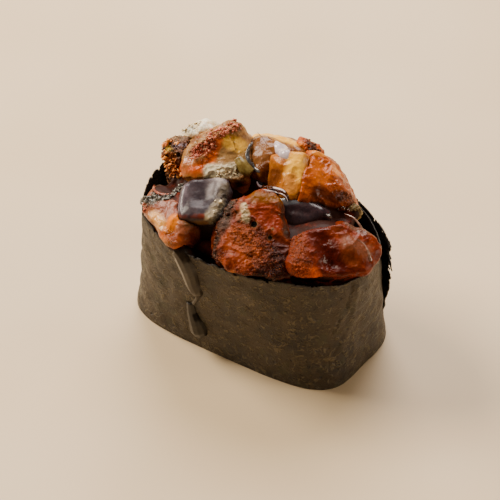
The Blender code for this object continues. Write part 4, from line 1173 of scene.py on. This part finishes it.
def makeStrand(look, ground):
    line = smoothLine([(tuple(share(look["node"], part)), radius) for part, radius in look["line"]])
    curve = bpy.data.curves.new(look["name"], "CURVE")
    curve.dimensions = "3D"
    curve.bevel_depth = 1 * mm
    curve.bevel_resolution = 4
    curve.use_fill_caps = True
    path = curve.splines.new("POLY")
    path.points.add(len(line) - 1)
    spots = []
    for spot in line:                          # laid on what is first met from the front and above
        start = (Vector(spot[:3]) + slant * 12) * mm
        hit = None if look.get("free") else ground.ray_cast(start, -slant)[0]
        spots.append(Vector(spot[:3]) if hit is None else hit / mm)
    for _ in range(look.get("taut", 12)):      # and drawn taut across the gaps
        depths = [spot.dot(slant) for spot in spots]
        for i in range(1, len(spots) - 1):
            rise = (depths[i - 1] + depths[i + 1]) / 2 - depths[i]
            spots[i] = spots[i] + slant * max(0.0, rise)
    for point, spot, (_, _, _, radius) in zip(path.points, spots, line):
        point.co = (*((spot - slant * look["sink"]) * mm), 1)
        point.radius = max(0.04, radius)
    piece = bpy.data.objects.new(look["name"], curve)
    bpy.context.scene.collection.objects.link(piece)
    takeUp(piece)
    bpy.ops.object.convert(target="MESH")
    piece = named(look["name"])
    work(piece, "REMESH", mode="VOXEL", voxel_size=0.09 * mm)
    work(piece, "SMOOTH", factor=0.5, iterations=6)
    for vert in piece.data.vertices:           # pressed towards the ground
        near, facing = ground.find_nearest(vert.co)[:2]
        height = (vert.co - near).dot(facing)
        if height > 0:
            vert.co -= facing * height * (1 - look["flat"])
    work(piece, "SMOOTH", factor=0.5, iterations=look.get("calm", 2))
    if "crinkle" in look:
        work(piece, "DISPLACE", texture=flakes, strength=look["crinkle"] * mm, mid_level=0.5)
        work(piece, "DISPLACE", texture=crumbs, strength=look["crinkle"] * 0.6 * mm, mid_level=0.5)
    finish = finishes[look["finish"]]
    settle(piece, look["node"], plainMaterial(look["name"], finish))
    return piece


def makeHeap(look, ground):
    grains = []
    bpy.ops.mesh.primitive_ico_sphere_add(subdivisions=2, radius=1 * mm)
    model = named("crumbModel")
    shape = points(model)
    shape *= 1 + 1.3 * np.array([noise.noise(Vector(place) * 2.6) for place in shape])[:, None]
    put(model, shape)
    for node, start, end, count, size, spread in look["runs"]:
        start, end = share(node, start), share(node, end)
        for _ in range(count):
            spot = start.lerp(end, chance.random()) + Vector([chance.gauss(0, spread) for _ in range(3)])
            near, facing = ground.find_nearest(spot * mm)[:2]
            grain = model.copy()
            grain.data = model.data.copy()
            bpy.context.scene.collection.objects.link(grain)
            radius = size * chance.uniform(0.5, 1.25)
            grain.location = near + facing * radius * chance.uniform(0.0, 0.7) * mm
            grain.rotation_euler = [chance.uniform(0, 6.28) for _ in range(3)]
            grain.scale = [radius * chance.uniform(0.3, 1.5) for _ in range(3)]
            grains.append(grain)
    bpy.data.objects.remove(model)
    piece = joined(look["name"], grains)
    finish = finishes[look["finish"]]
    settle(piece, look["runs"][0][0], plainMaterial(look["name"], finish))
    return piece


def makeBubbles(ground):
    balls = []
    for part, radius in bubbles["spots"]:
        near, facing = ground.find_nearest(share(bubbles["node"], part) * mm)[:2]
        bpy.ops.mesh.primitive_uv_sphere_add(segments=20, ring_count=12, radius=radius * mm, location=near)
        balls.append(bpy.context.object)
    piece = joined("bubbles", balls)
    settle(piece, None, plainMaterial("bubbles", finishes["syrup"]))
    return piece


buildRoom()
print("room ready")
made = [makeEel(look) for look in eelPieces]
print("eel pieces:", len(made))
pool = makeSauce()
print("sauce ready")
sheet = makeNori()
print("nori ready")
ground = treeOf(made + [pool, sheet])
for look in strands:
    makeStrand(look, ground)
for look in heaps:
    makeHeap(look, ground)
makeBubbles(ground)
print("strands, crumbs and bubbles ready")
makeRice()
print("rice ready")
